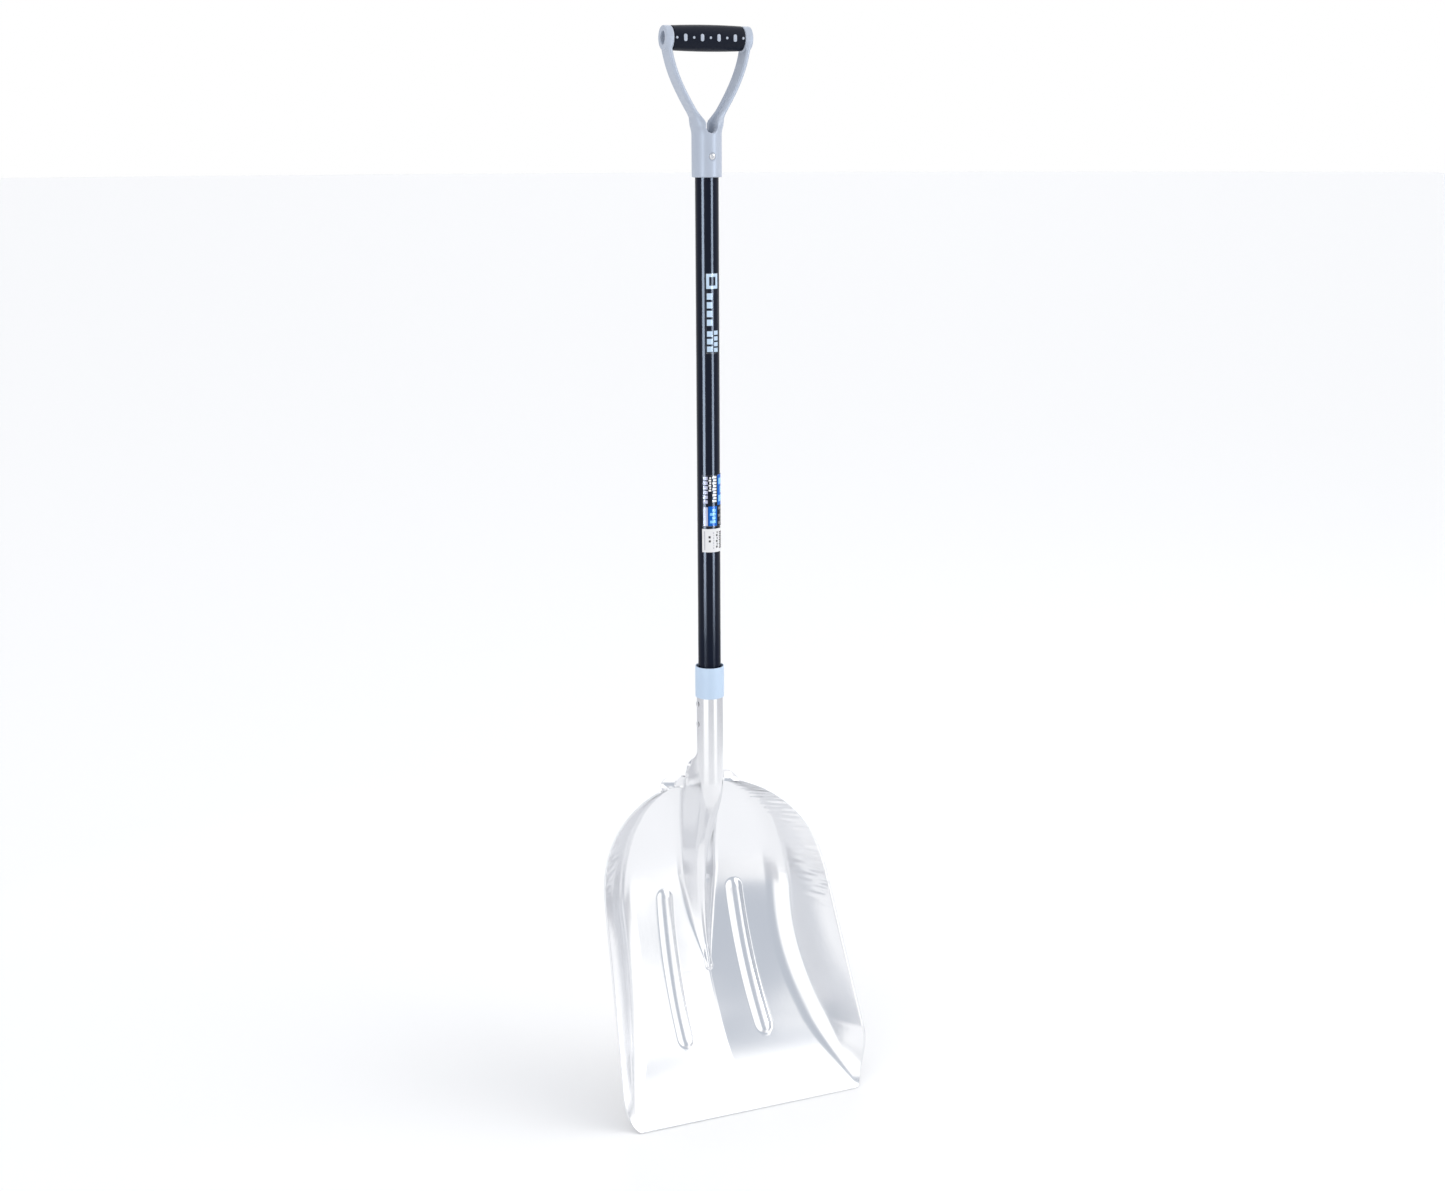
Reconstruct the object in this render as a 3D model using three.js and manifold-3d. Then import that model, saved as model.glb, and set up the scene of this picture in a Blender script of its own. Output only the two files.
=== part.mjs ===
// Snow shovel: a pressed aluminium scoop with its socket, a steel tube shaft and a plastic D-handle.
// Millimetres. Z runs up the shaft, X across the blade, and the scoop opens towards -Y.
// Heights are measured up from the cutting edge; the finished group is then lowered so that
// its origin is under the middle of the hand grip, where the shovel hangs on a hook.

import * as THREE from 'three';
import { mergeVertices } from 'three/addons/utils/BufferGeometryUtils.js';
import Module from 'manifold-3d';

const wasm = await Module();
wasm.setup();

// ---------------------------------------------------------------- driving dimensions

// Fits
const fitGap = 0.4;              // radial gap between a tube and what it slides into
const touchGap = 0.3;            // gap left between two faces that touch

// Shaft
const shaftDiameter = 30;
const shaftWall = 1.2;
const shaftLength = 790;
const shaftInsertion = 100;      // how far the shaft goes down into the neck

// Blade
const bladeLength = 402;         // cutting edge to shoulder
const bladeWidth = 353;          // across the rims at the widest
const cuttingWidth = 313;
const sheet = 2;                 // aluminium thickness
const cornerHeight = 70;         // the front corners round out over this height
const sideTaper = 0.07;          // how much each side draws in per millimetre of height
const archHeight = 140;          // height of the rounded rear end
const archFullness = 2.5;        // 2 is an ellipse, more is squarer
const archOver = 8;              // the arch would close this far above the shoulder
const floorRadius = 363;         // the floor is an arc in side view
const floorDepth = 52;           // deepest point of the floor behind the shaft's axis
const floorTurn = 82;            // the deepest point lies this far below the shoulder
const floorDish = 8;             // the floor's edges stand forward of its middle by this
const rimLean = 25;              // degrees from the shaft to the side walls' rims
const shoulderRise = 12;         // the rim stands forward of the floor by this at the shoulder
const wallFlare = 0.55;          // sideways run of a wall for each millimetre of its rise
const rearFlare = 1.25;          // the same at the shoulder
const flareStart = 0.6 * bladeLength;
const wallBend = 43;             // largest bend radius between floor and wall
const wallBendShare = 0.3;       // the bend takes at most this share of the wall
const noseHeight = 80;           // the walls rise from nothing to their full depth over this

// Ridge, which carries the socket down into the floor
const ridgeTip = 142;            // height of the ridge's lower end
const ridgeRise = 0.145;         // ridge height for each millimetre above its tip
const ridgeSlope = 0.5;          // lean of the stretch that joins the neck
const ridgeBlend = 10;           // softness of the ridge's two bends
const ridgeHalfWidth = 26;
const ridgeTipRadius = 3.5;
const ridgeSpread = 130;         // the ridge reaches its full width this far above its tip
const ridgeFullness = 0.8;       // 1 spreads evenly, less is blunter
const leastSpread = 0.03;        // share of the width left below the tip
const footBend = 12;             // bend radius where the ridge meets the floor
const footBendGrowth = 4;        // it is reached a quarter of the way up the ridge
const leastFootBend = 0.2;       // share of it at the tip

// Ribs pressed into the floor
const ribWidth = 24;
const ribHeight = 5;
const ribFullness = 0.7;         // 0.5 is a half ellipse, 1 a parabola
const ribBottom = 75;
const ribTop = 244;
const ribBottomOffset = 57.7;    // from the middle to the rib's centre line at its lower end
const ribTopOffset = 51.9;

// Neck and shoulder lips
const neckLength = 170;          // shoulder to the neck's upper end
const neckSeam = 3;              // width of the open seam down the neck's back
const neckFlare = 60;            // the neck opens out into the shoulder over this height
const earWidth = 7;              // the flare stands this far out from the neck under the lip's end
const lipHeight = 17;
const lipReach = 33;             // the lip runs this far out from the neck's side
const lipCurl = 30;              // how strongly the lip turns back
const closingStart = 13.6;       // above the shoulder the flare starts to close into a tube here

// Collar
const collarHeight = 42.5;
const collarOverhang = 10;       // collar above the neck's upper end
const collarWall = 1.5;

// Neck rivets
const rivetDiameter = 4;
const rivetHeadDiameter = 7;
const rivetHeadHeight = 1.4;
const rivetTailDiameter = 6;
const rivetTailLength = 3;
const tailRound = 1.2;
const headRound = 0.9;
const rivetPitch = 28;
const rivetDrop = 42;            // upper rivet below the neck's upper end

// Handle yoke
const socketWall = 3.7;
const socketDiameter = shaftDiameter + 2 * (touchGap + socketWall);
const socketDepth = 44;          // how far the shaft goes up into the yoke
const crotchHeight = 54;         // socket's lower end to the bottom of the fork
const forkRadius = 7.5;
const socketShoulder = 1.9;      // the socket starts to narrow by this, beside the fork
const gripHeight = 168;          // socket's lower end to the grip's axis
const yokeWidth = 116;
const armThickness = 6;
const armDepth = 26;
const armFoot = 11.5;            // an arm's centre line starts this far from the middle
const armFootRise = 5.5;         // and this far above the fork's centre
const armLowerOut = 0.45;        // the lower bend's pull, as shares of the way out and up
const armLowerUp = 0.3;
const armUpperOut = 0.93;        // the upper bend's pull
const armUpperUp = 0.6;
const bossDiameter = 30;
const bossLength = 10.7;
const recessDiameter = 16;
const recessDepth = 45;
const coreDiameter = 23.4;       // the bar inside the grip
const channelDiameter = 23;      // hollow above the shaft's end

// Grip
const gripEndDiameter = 30;
const gripMiddleDiameter = 32.4;
const dotDiameter = 3;
const slotWidth = 4.8;
const slotHeight = 9;
const patternPitch = 11;         // dots and slots take turns at this spacing
const padSink = 0.5;             // the core's pads end this far inside the grip's skin

// Yoke screw
const screwDiameter = 4;
const screwLength = 11;
const screwHeadDiameter = 7.6;
const screwHeadHeight = 2.2;
const screwHeadRound = 1.1;
const screwPoint = 1.5;          // length of the tapered end
const screwHeight = 25.5;        // above the socket's lower end
const pocketDiameter = 9;
const pocketDepth = 1.2;
const crossWidth = 1;
const crossLength = 4.4;
const crossDepth = 1.2;

// Labels round the shaft
const labelThickness = 0.4;
const labelStart = -56;          // degrees round from the front, towards +X
const filmBottom = 773;
const filmHeight = 68;
const filmSweep = 250;
const stickerBottom = 739;
const stickerHeight = 31;
const stickerSweep = 130;

// ---------------------------------------------------------------- worked out from them

const shaftRadius = shaftDiameter / 2;
const neckRadius = shaftRadius + fitGap + sheet;
const neckTop = bladeLength + neckLength;
const shaftBottom = neckTop - shaftInsertion;
const shaftTop = shaftBottom + shaftLength;
const collarTop = neckTop + collarOverhang;
const yokeBottom = shaftTop - socketDepth;
const gripAxis = yokeBottom + gripHeight;
const hangHeight = gripAxis - gripMiddleDiameter / 2;
const roundSides = 30;

// ---------------------------------------------------------------- materials

function finish(color, roughness, metalness) {
  return new THREE.MeshStandardMaterial({ color, roughness, metalness });
}

const aluminium = finish(0xd8dade, 0.28, 1);
const shaftPaint = finish(0x0e0f13, 0.25, 0);
const handlePlastic = finish(0xa9b3c6, 0.5, 0);
const collarPlastic = finish(0xa8c0dc, 0.45, 0);
const gripRubber = finish(0x111217, 0.55, 0);
const plating = finish(0xc9ccd2, 0.3, 1);
const rivetMetal = finish(0xb9bcc4, 0.35, 1);
const filmPrint = finish(0x16181d, 0.35, 0);
const paper = finish(0xf2f2ef, 0.8, 0);

// ---------------------------------------------------------------- solid modelling helpers

function toSolid(geometry) {
  const bare = geometry.index ? geometry.clone() : geometry;
  bare.deleteAttribute('normal');
  bare.deleteAttribute('uv');
  const merged = mergeVertices(bare, 1e-4);
  return new wasm.Manifold(new wasm.Mesh({
    numProp: 3,
    vertProperties: new Float32Array(merged.attributes.position.array),
    triVerts: new Uint32Array(merged.index.array),
  }));
}

function toGeometry(solid) {
  const result = solid.getMesh();
  const geometry = new THREE.BufferGeometry();
  geometry.setAttribute('position', new THREE.BufferAttribute(result.vertProperties, 3));
  geometry.setIndex(new THREE.BufferAttribute(result.triVerts, 1));
  geometry.computeVertexNormals();
  return geometry;
}

// A solid of revolution about Z from [radius, height] points that close on themselves or on the axis.
function turned(points, sides = roundSides) {
  const profile = points.map(([radius, height]) => new THREE.Vector2(radius, height));
  return new THREE.LatheGeometry(profile, sides).rotateX(Math.PI / 2);
}

function ring(outerRadius, innerRadius, bottom, top) {
  return turned([
    [innerRadius, bottom],
    [outerRadius, bottom],
    [outerRadius, top],
    [innerRadius, top],
    [innerRadius, bottom],
  ]);
}

function rod(radius, bottom, top, sides = roundSides) {
  return turned([[0, bottom], [radius, bottom], [radius, top], [0, top]], sides);
}

// An outline of [x, z] points, given depth along Y about the middle.
function plate(points, depth) {
  const shape = new THREE.Shape(points.map(([x, z]) => new THREE.Vector2(x, z)));
  const geometry = new THREE.ExtrudeGeometry(shape, { depth, bevelEnabled: false });
  return geometry.translate(0, 0, -depth / 2).rotateX(Math.PI / 2);
}

function alongX(geometry) {
  return geometry.rotateY(Math.PI / 2);
}

function alongY(geometry) {
  return geometry.rotateX(Math.PI / 2);
}

function named(name, geometry, material) {
  const mesh = new THREE.Mesh(geometry, material);
  mesh.name = name;
  return mesh;
}

// Evenly spaced values from one bound up to, but not counting, the other.
function spread(from, to, steps) {
  return Array.from({ length: steps }, (_, i) => from + (to - from) * i / steps);
}

const { clamp, lerp, smoothstep, degToRad } = THREE.MathUtils;

// The lesser of two values, rounded off where they are within soft of each other.
function softMin(a, b, soft) {
  const share = clamp(0.5 + (b - a) / (2 * soft), 0, 1);
  return lerp(b, a, share) - soft * share * (1 - share);
}

// ---------------------------------------------------------------- blade

// Side view of the floor's middle: an arc, deepest a little below the shoulder.
function floorAt(z) {
  const fromTurn = z - (bladeLength - floorTurn);
  return floorDepth - floorRadius + Math.sqrt(floorRadius ** 2 - fromTurn ** 2);
}

// Side view of the rims: a straight line that drops into the cutting edge's corners.
function rimAt(z) {
  const shoulder = floorAt(bladeLength) - shoulderRise;
  const line = shoulder - Math.tan(degToRad(rimLean)) * (bladeLength - z);
  const rise = 1 - (1 - clamp(z / noseHeight, 0, 1)) ** 2;
  return lerp(floorAt(z), line, rise);
}

// Half the blade's width at each height.
function halfWidthAt(z) {
  if (z < cornerHeight) {
    const share = Math.sqrt(1 - (1 - z / cornerHeight) ** 2);
    return lerp(cuttingWidth / 2, bladeWidth / 2, share);
  }
  const taper = bladeWidth / 2 - sideTaper * (z - cornerHeight);
  const climb = clamp((z - bladeLength - archOver + archHeight) / archHeight, 0, 1);
  return taper * Math.sqrt(1 - climb ** archFullness);
}

// Side view of the ridge's crest, from its tip up to the neck's front.
function crestAt(z) {
  const level = Math.min(z, bladeLength);
  const overFloor = floorAt(level) - ridgeRise * Math.max(0, level - ridgeTip);
  const slope = ridgeSlope * (bladeLength - z) - neckRadius;
  const front = -softMin(-slope, neckRadius, ridgeBlend);
  return softMin(overFloor, front, ridgeBlend);
}

// Where the floor turns up into the wall, as a sharp corner.
function turnAt(z) {
  const edgeFade = clamp(z / noseHeight, 0, 1) * (1 - smoothstep(z, bladeLength - noseHeight, bladeLength));
  const y = floorAt(z) - floorDish * edgeFade;
  const flare = lerp(wallFlare, rearFlare, smoothstep(z, flareStart, bladeLength));
  const x = halfWidthAt(z) - Math.max(0, y - rimAt(z)) * flare;
  return new THREE.Vector2(x, y);
}

// How far the neck has opened out into the shoulder: 0 at the tube, 1 at the blade.
function openingAt(z) {
  return clamp((bladeLength + neckFlare - z) / neckFlare, 0, 1) ** 2;
}

// The corners of the sheet's half section at one height: the foot of the ridge's flank, the turn
// into the wall, and the edge. Above the shoulder the edge is the lip's, and then the seam's.
function cornersAt(z) {
  const opening = openingAt(z);
  const ridgeShare = clamp((z - ridgeTip) / ridgeSpread, leastSpread, 1) ** ridgeFullness;
  const foot = new THREE.Vector2(
    lerp(neckRadius, ridgeHalfWidth * ridgeShare, opening),
    lerp(neckRadius, floorAt(Math.min(z, bladeLength + lipHeight)), opening),
  );
  if (z <= bladeLength) {
    const turn = turnAt(z);
    if (z < noseHeight) {
      turn.x = lerp(cuttingWidth / 2, turnAt(noseHeight).x, z / noseHeight);
    }
    return { foot, turn, edge: new THREE.Vector2(halfWidthAt(z), rimAt(z)) };
  }
  const lipShare = clamp((z - bladeLength) / lipHeight, 0, 1);
  const lipEnd = neckRadius + earWidth + lipReach * Math.sqrt(1 - lipShare ** 2);
  const closing = smoothstep(z, bladeLength + closingStart, bladeLength + neckFlare);
  const reach = Math.max(lipEnd - foot.x, closing * neckRadius);
  const heading = Math.PI * closing;
  const settle = (rimAt(bladeLength) - foot.y) * (1 - lipShare) * (1 - closing);
  const curl = lipCurl * lipShare * (1 - closing) * Math.max(0, lipEnd - foot.x) / lipReach;
  const edge = new THREE.Vector2(
    foot.x + reach * Math.cos(heading),
    foot.y + reach * Math.sin(heading) + settle + curl,
  );
  return { foot, turn: edge, edge };
}

// The half section as a chain of bends, each a length of sheet and the angle it turns through.
// It starts at the crest, heading straight out to the side.
function bendsAt(z) {
  const { foot, turn, edge } = cornersAt(z);
  const share = clamp((z - ridgeTip) / (bladeLength - ridgeTip), 0, 1);
  const opening = openingAt(z);
  const capRadius = lerp(ridgeTipRadius, neckRadius, share);
  const centre = new THREE.Vector2(0, crestAt(z) + capRadius);
  const toFoot = foot.clone().sub(centre);
  const capAngle = toFoot.angle() + Math.asin(Math.min(1, capRadius / toFoot.length()));
  const capTurn = capAngle > Math.PI ? capAngle - 2 * Math.PI : capAngle;
  const flankLength = Math.sqrt(Math.max(0, toFoot.lengthSq() - capRadius ** 2));
  const floorLine = turn.clone().sub(foot);
  const wallLine = edge.clone().sub(turn);
  const footTurn = signedAngle(capTurn, floorLine);
  const wallTurn = signedAngle(Math.atan2(floorLine.y, floorLine.x), wallLine);
  const bendShare = clamp(share * footBendGrowth, leastFootBend, 1);
  const footRadius = lerp(neckRadius, footBend * bendShare, opening);
  const wallCut = Math.min(
    wallBend * Math.tan(Math.abs(wallTurn) / 2),
    wallBendShare * wallLine.length(),
    wallBendShare * floorLine.length(),
  );
  const footCut = Math.min(
    footRadius * Math.tan(Math.abs(footTurn) / 2),
    flankLength,
    floorLine.length() - wallCut,
  );
  return {
    crest: crestAt(z),
    bends: [
      { length: capRadius * capTurn, turn: capTurn },
      { length: flankLength - footCut, turn: 0 },
      { length: arcLength(footCut, footTurn), turn: footTurn },
      { length: floorLine.length() - footCut - wallCut, turn: 0 },
      { length: arcLength(wallCut, wallTurn), turn: wallTurn },
      { length: wallLine.length() - wallCut, turn: 0 },
    ],
  };
}

// The turn from one heading to the direction of a line, between half a turn back and forth.
function signedAngle(heading, line) {
  const turn = Math.atan2(line.y, line.x) - heading;
  return Math.atan2(Math.sin(turn), Math.cos(turn));
}

// Length of the arc that rounds a corner, cutting each side back by the given length.
function arcLength(cut, turn) {
  const half = Math.max(Math.abs(turn) / 2, 1e-6);
  return cut / Math.tan(half) * 2 * half;
}

// The point that lies a given length of sheet along the chain of bends.
function pointAlong(section, distance) {
  let [x, y, heading, left] = [0, section.crest, 0, distance];
  for (const bend of section.bends) {
    if (bend.length <= 0) {
      heading += bend.turn;
      continue;
    }
    const part = Math.min(left, bend.length);
    const turn = bend.turn * part / bend.length;
    const half = Math.abs(turn) / 2;
    const chord = half > 1e-6 ? part * Math.sin(half) / half : part;
    x += chord * Math.cos(heading + turn / 2);
    y += chord * Math.sin(heading + turn / 2);
    heading += turn;
    left -= part;
  }
  return [x, y];
}

function ribOffsetAt(z) {
  return lerp(ribBottomOffset, ribTopOffset, (z - ribBottom) / (ribTop - ribBottom));
}

// How far a rib stands forward of the floor.
function ribRise(x, z) {
  const nearest = clamp(z, ribBottom, ribTop);
  const distance = Math.hypot(Math.abs(x) - ribOffsetAt(nearest), z - nearest) / (ribWidth / 2);
  return distance < 1 ? ribHeight * (1 - distance ** 2) ** ribFullness : 0;
}

// How far along the sheet each column of points lies, with extra columns over the ribs.
const columnCounts = [4, 2, 4, 7, 4, 2];
const ribColumns = [-1, -0.75, -0.3, 0.3, 0.75, 1];
const leastStep = 1.2;

function columnsAt(z, section) {
  const seam = neckSeam / 2 * smoothstep(z, bladeLength + lipHeight, bladeLength + neckFlare);
  const total = section.bends.reduce((sum, bend) => sum + bend.length, 0) - seam;
  const distances = [];
  let start = 0;
  section.bends.forEach((bend, piece) => {
    const even = spread(start, start + bend.length, columnCounts[piece]);
    if (piece === 3) {
      const ribMiddle = start + ribOffsetAt(z) - pointAlong(section, start)[0];
      const overRib = ribColumns.map((share) => ribMiddle + share * ribWidth / 2);
      const away = smoothstep(z, ribTop + ribWidth, ribTop + 3 * ribWidth);
      even.splice(1, ribColumns.length, ...overRib.map((value, i) => lerp(value, even[i + 1], away)));
    }
    distances.push(...even);
    start += bend.length;
  });
  distances.push(total);
  const evenShare = smoothstep(z, bladeLength - lipHeight, bladeLength + lipHeight);
  for (let i = 1; i < distances.length - 1; i += 1) {
    distances[i] = Math.max(distances[i], distances[i - 1] + leastStep);
  }
  for (let i = distances.length - 2; i > 0; i -= 1) {
    distances[i] = Math.min(distances[i], distances[i + 1] - leastStep);
  }
  return distances.map((value, i) => lerp(value, total * i / (distances.length - 1), evenShare));
}

function bladeLevels() {
  const ribEnd = ribWidth / 2;
  const lipTop = bladeLength + lipHeight;
  const archStart = bladeLength - archHeight / 2;
  return [
    ...spread(0, ribBottom - ribEnd, 6),
    ...[1, 0.85, 0.5].map((share) => ribBottom - share * ribEnd),
    ...spread(ribBottom, ridgeTip, 3),
    ...spread(ridgeTip, ribTop, 5),
    ...[0, 0.5, 0.85].map((share) => ribTop + share * ribEnd),
    ...spread(ribTop + ribEnd, archStart, 4),
    ...spread(archStart, bladeLength, 9),
    ...spread(bladeLength, lipTop, 6),
    ...spread(lipTop, bladeLength + neckFlare, 6),
    bladeLength + neckFlare,
    neckTop,
  ];
}

// A sheet of even thickness from a grid of points, thickened towards the back.
function thickSheet(rows, thickness) {
  const last = rows[0].length - 1;
  const corner = (i, j) => rows[clamp(i, 0, rows.length - 1)][clamp(j, 0, last)];
  const front = [];
  const back = [];
  rows.forEach((row, i) => {
    row.forEach((point, j) => {
      const across = corner(i, j + 1).clone().sub(corner(i, j - 1));
      const along = corner(i + 1, j).clone().sub(corner(i - 1, j));
      const backward = along.cross(across).normalize();
      front.push(point);
      back.push(point.clone().addScaledVector(backward, thickness));
    });
  });
  const width = last + 1;
  const index = [];
  const quad = (a, b, c, d) => index.push(a, b, c, a, c, d);
  const at = (i, j, side) => side * front.length + i * width + j;
  for (let i = 0; i < rows.length - 1; i += 1) {
    for (let j = 0; j < last; j += 1) {
      quad(at(i, j, 0), at(i, j + 1, 0), at(i + 1, j + 1, 0), at(i + 1, j, 0));
      quad(at(i, j, 1), at(i + 1, j, 1), at(i + 1, j + 1, 1), at(i, j + 1, 1));
    }
    quad(at(i, 0, 0), at(i + 1, 0, 0), at(i + 1, 0, 1), at(i, 0, 1));
    quad(at(i, last, 0), at(i, last, 1), at(i + 1, last, 1), at(i + 1, last, 0));
  }
  const top = rows.length - 1;
  for (let j = 0; j < last; j += 1) {
    quad(at(0, j, 0), at(0, j, 1), at(0, j + 1, 1), at(0, j + 1, 0));
    quad(at(top, j, 0), at(top, j + 1, 0), at(top, j + 1, 1), at(top, j, 1));
  }
  const geometry = new THREE.BufferGeometry().setFromPoints([...front, ...back]);
  geometry.setIndex(index);
  return geometry;
}

function bladeSheet() {
  const rows = bladeLevels().map((z) => {
    const section = bendsAt(z);
    const half = columnsAt(z, section).map((distance) => {
      const [x, y] = pointAlong(section, distance);
      return new THREE.Vector3(x, y - ribRise(x, z), z);
    });
    const mirrored = half.slice(1).reverse().map((point) => new THREE.Vector3(-point.x, point.y, point.z));
    return [...mirrored, ...half];
  });
  return thickSheet(rows, sheet);
}

// ---------------------------------------------------------------- holes for the fasteners

const rivetHeights = [neckTop - rivetDrop, neckTop - rivetDrop - rivetPitch];
const rivetHole = rivetDiameter / 2 + touchGap;

// The rivets go in from the left, so their holes pass one wall only.
function rivetHoles() {
  return rivetHeights
    .map((height) => toSolid(alongX(rod(rivetHole, -1.5 * neckRadius, 0, 16)).translate(0, 0, height)))
    .reduce((all, hole) => all.add(hole));
}

function screwHole(radius, depth) {
  const hole = alongY(rod(radius, 0, depth, 16));
  return toSolid(hole.translate(0, -socketDiameter / 2 + depth, yokeBottom + screwHeight));
}

// ---------------------------------------------------------------- neck, shaft and collar

function blade() {
  return toGeometry(toSolid(bladeSheet()).subtract(rivetHoles()));
}

function shaft() {
  const tube = toSolid(ring(shaftRadius, shaftRadius - shaftWall, shaftBottom, shaftTop));
  const clearance = screwDiameter / 2 + touchGap;
  return toGeometry(tube.subtract(rivetHoles()).subtract(screwHole(clearance, socketDiameter / 2)));
}

function collar() {
  const inner = neckRadius + touchGap;
  const outer = inner + collarWall;
  const edge = collarWall / 3;
  const bottom = collarTop - collarHeight;
  return turned([
    [inner, bottom],
    [outer - edge, bottom],
    [outer, bottom + edge],
    [outer, collarTop - edge],
    [outer - edge, collarTop],
    [inner, collarTop],
    [inner, bottom],
  ]);
}

// A blind rivet, pointing up: tail inside the shaft, shank through both walls, domed head outside.
function rivet() {
  const shank = rivetDiameter / 2;
  const head = rivetHeadDiameter / 2;
  const inside = shaftRadius - shaftWall - touchGap;
  const outside = neckRadius + touchGap;
  return turned([
    [0, inside - rivetTailLength],
    [rivetTailDiameter / 2 - tailRound, inside - rivetTailLength],
    [rivetTailDiameter / 2, inside - rivetTailLength / 2],
    [shank, inside],
    [shank, outside],
    [head, outside],
    [head - headRound, outside + rivetHeadHeight - headRound / 2],
    [0, outside + rivetHeadHeight],
  ], 16);
}

// ---------------------------------------------------------------- handle

// Points on an arm's centre line, with the direction across it.
function armLine() {
  const start = new THREE.Vector2(armFoot, yokeBottom + crotchHeight + forkRadius + armFootRise);
  const end = new THREE.Vector2(yokeWidth / 2 - bossLength / 2 + 1, gripAxis);
  const line = new THREE.CubicBezierCurve(
    start,
    new THREE.Vector2(lerp(start.x, end.x, armLowerOut), lerp(start.y, end.y, armLowerUp)),
    new THREE.Vector2(lerp(start.x, end.x, armUpperOut), lerp(start.y, end.y, armUpperUp)),
    end,
  );
  return spread(0, 1, 10).concat(1).map((t) => {
    const point = line.getPoint(t);
    const across = line.getTangent(t).rotateAround(new THREE.Vector2(), -Math.PI / 2);
    return { point, across };
  });
}

function mirroredOutline(side) {
  return [...side, ...side.slice().reverse().map(([x, z]) => [-x, z])];
}

function armOutline(offset) {
  return armLine().map(({ point, across }) => [point.x + offset * across.x, point.y + offset * across.y]);
}

function fork() {
  const base = shaftTop + touchGap;
  const outer = armOutline(armThickness / 2);
  const solid = toSolid(plate(mirroredOutline([[outer[0][0], base], ...outer]), armDepth));
  const forkCentre = yokeBottom + crotchHeight + forkRadius;
  const notch = spread(0, Math.PI / 2, 5).slice(1).map((angle) => [
    forkRadius * Math.sin(angle),
    forkCentre - forkRadius * Math.cos(angle),
  ]);
  const inner = armOutline(-armThickness / 2);
  const closing = [inner.at(-1)[0], gripAxis + armThickness];
  const opening = mirroredOutline([...notch, ...inner, closing]);
  return { solid, opening: toSolid(plate(opening, 2 * socketDiameter)) };
}

function socketBody() {
  const outer = socketDiameter / 2;
  const edge = 1;
  const shoulder = yokeBottom + crotchHeight + forkRadius;
  const top = shoulder + outer;
  return toSolid(turned([
    [0, yokeBottom],
    [outer - edge, yokeBottom],
    [outer, yokeBottom + edge],
    [outer, shoulder],
    [outer - socketShoulder, shoulder + 3 * socketShoulder],
    [armDepth / 2, top],
    [0, top],
  ]));
}

function socketBore() {
  const bore = rod(shaftRadius + touchGap, yokeBottom - 1, shaftTop + touchGap);
  const channelTop = yokeBottom + crotchHeight + socketDiameter;
  const channel = rod(channelDiameter / 2, shaftTop, channelTop, 24);
  return toSolid(bore).add(toSolid(channel));
}

function crossbar() {
  const half = yokeWidth / 2;
  const boss = bossDiameter / 2;
  const core = coreDiameter / 2;
  const edge = 1.5;
  const bar = toSolid(alongX(turned([
    [0, -half],
    [boss - edge, -half],
    [boss, edge - half],
    [boss, bossLength - half],
    [core, bossLength - half],
    [core, half - bossLength],
    [boss, half - bossLength],
    [boss, half - edge],
    [boss - edge, half],
    [0, half],
  ])));
  const recess = recessDiameter / 2;
  const left = toSolid(alongX(rod(recess, -half - 1, recessDepth - half, 24)));
  const right = toSolid(alongX(rod(recess, half - recessDepth, half + 1, 24)));
  return bar.subtract(left).subtract(right).translate(0, 0, gripAxis);
}

function gripRadiusAt(x) {
  const half = yokeWidth / 2 - bossLength - touchGap;
  return lerp(gripMiddleDiameter, gripEndDiameter, (x / half) ** 2) / 2;
}

// The dots and slots along the grip's front, each as [x, half width, half height].
function patternMarks() {
  return [-4, -3, -2, -1, 0, 1, 2, 3, 4].map((step) => (
    step % 2 === 0
      ? { x: step * patternPitch, halfWidth: dotDiameter / 2, halfHeight: dotDiameter / 2 }
      : { x: step * patternPitch, halfWidth: slotWidth / 2, halfHeight: slotHeight / 2 }
  ));
}

// A round-ended bar that points to the front, from inside the core out to a given depth.
function patternBar({ x, halfWidth, halfHeight }, shrink, reach) {
  const round = halfWidth - shrink;
  const shape = new THREE.Shape();
  const straight = halfHeight - halfWidth;
  shape.absarc(0, straight, round, 0, Math.PI, false);
  shape.absarc(0, -straight, round, Math.PI, 2 * Math.PI, false);
  const inner = coreDiameter / 2 - 1;
  const depth = reach - inner;
  const geometry = new THREE.ExtrudeGeometry(shape, { depth, bevelEnabled: false, curveSegments: 4 });
  return toSolid(geometry.rotateX(Math.PI / 2).translate(x, -inner, gripAxis));
}

function yoke() {
  const { solid, opening } = fork();
  const pads = patternMarks()
    .map((mark) => patternBar(mark, touchGap, gripRadiusAt(mark.x) - padSink))
    .reduce((all, pad) => all.add(pad));
  const pocket = screwHole(pocketDiameter / 2, pocketDepth);
  const hole = screwHole(screwDiameter / 2 + touchGap, socketDiameter / 2);
  const body = socketBody().add(solid).subtract(opening).subtract(socketBore());
  return toGeometry(body.add(crossbar()).add(pads).subtract(pocket).subtract(hole));
}

function grip() {
  const half = yokeWidth / 2 - bossLength - touchGap;
  const inner = coreDiameter / 2 + touchGap;
  const outline = spread(-half, half, 8).concat(half).map((x) => [gripRadiusAt(x), x]);
  const sleeve = toSolid(alongX(turned([[inner, -half], ...outline, [inner, half], [inner, -half]])));
  const windows = patternMarks()
    .map((mark) => patternBar(mark, 0, gripMiddleDiameter))
    .reduce((all, bar) => all.add(bar));
  return toGeometry(sleeve.translate(0, 0, gripAxis).subtract(windows));
}

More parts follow.
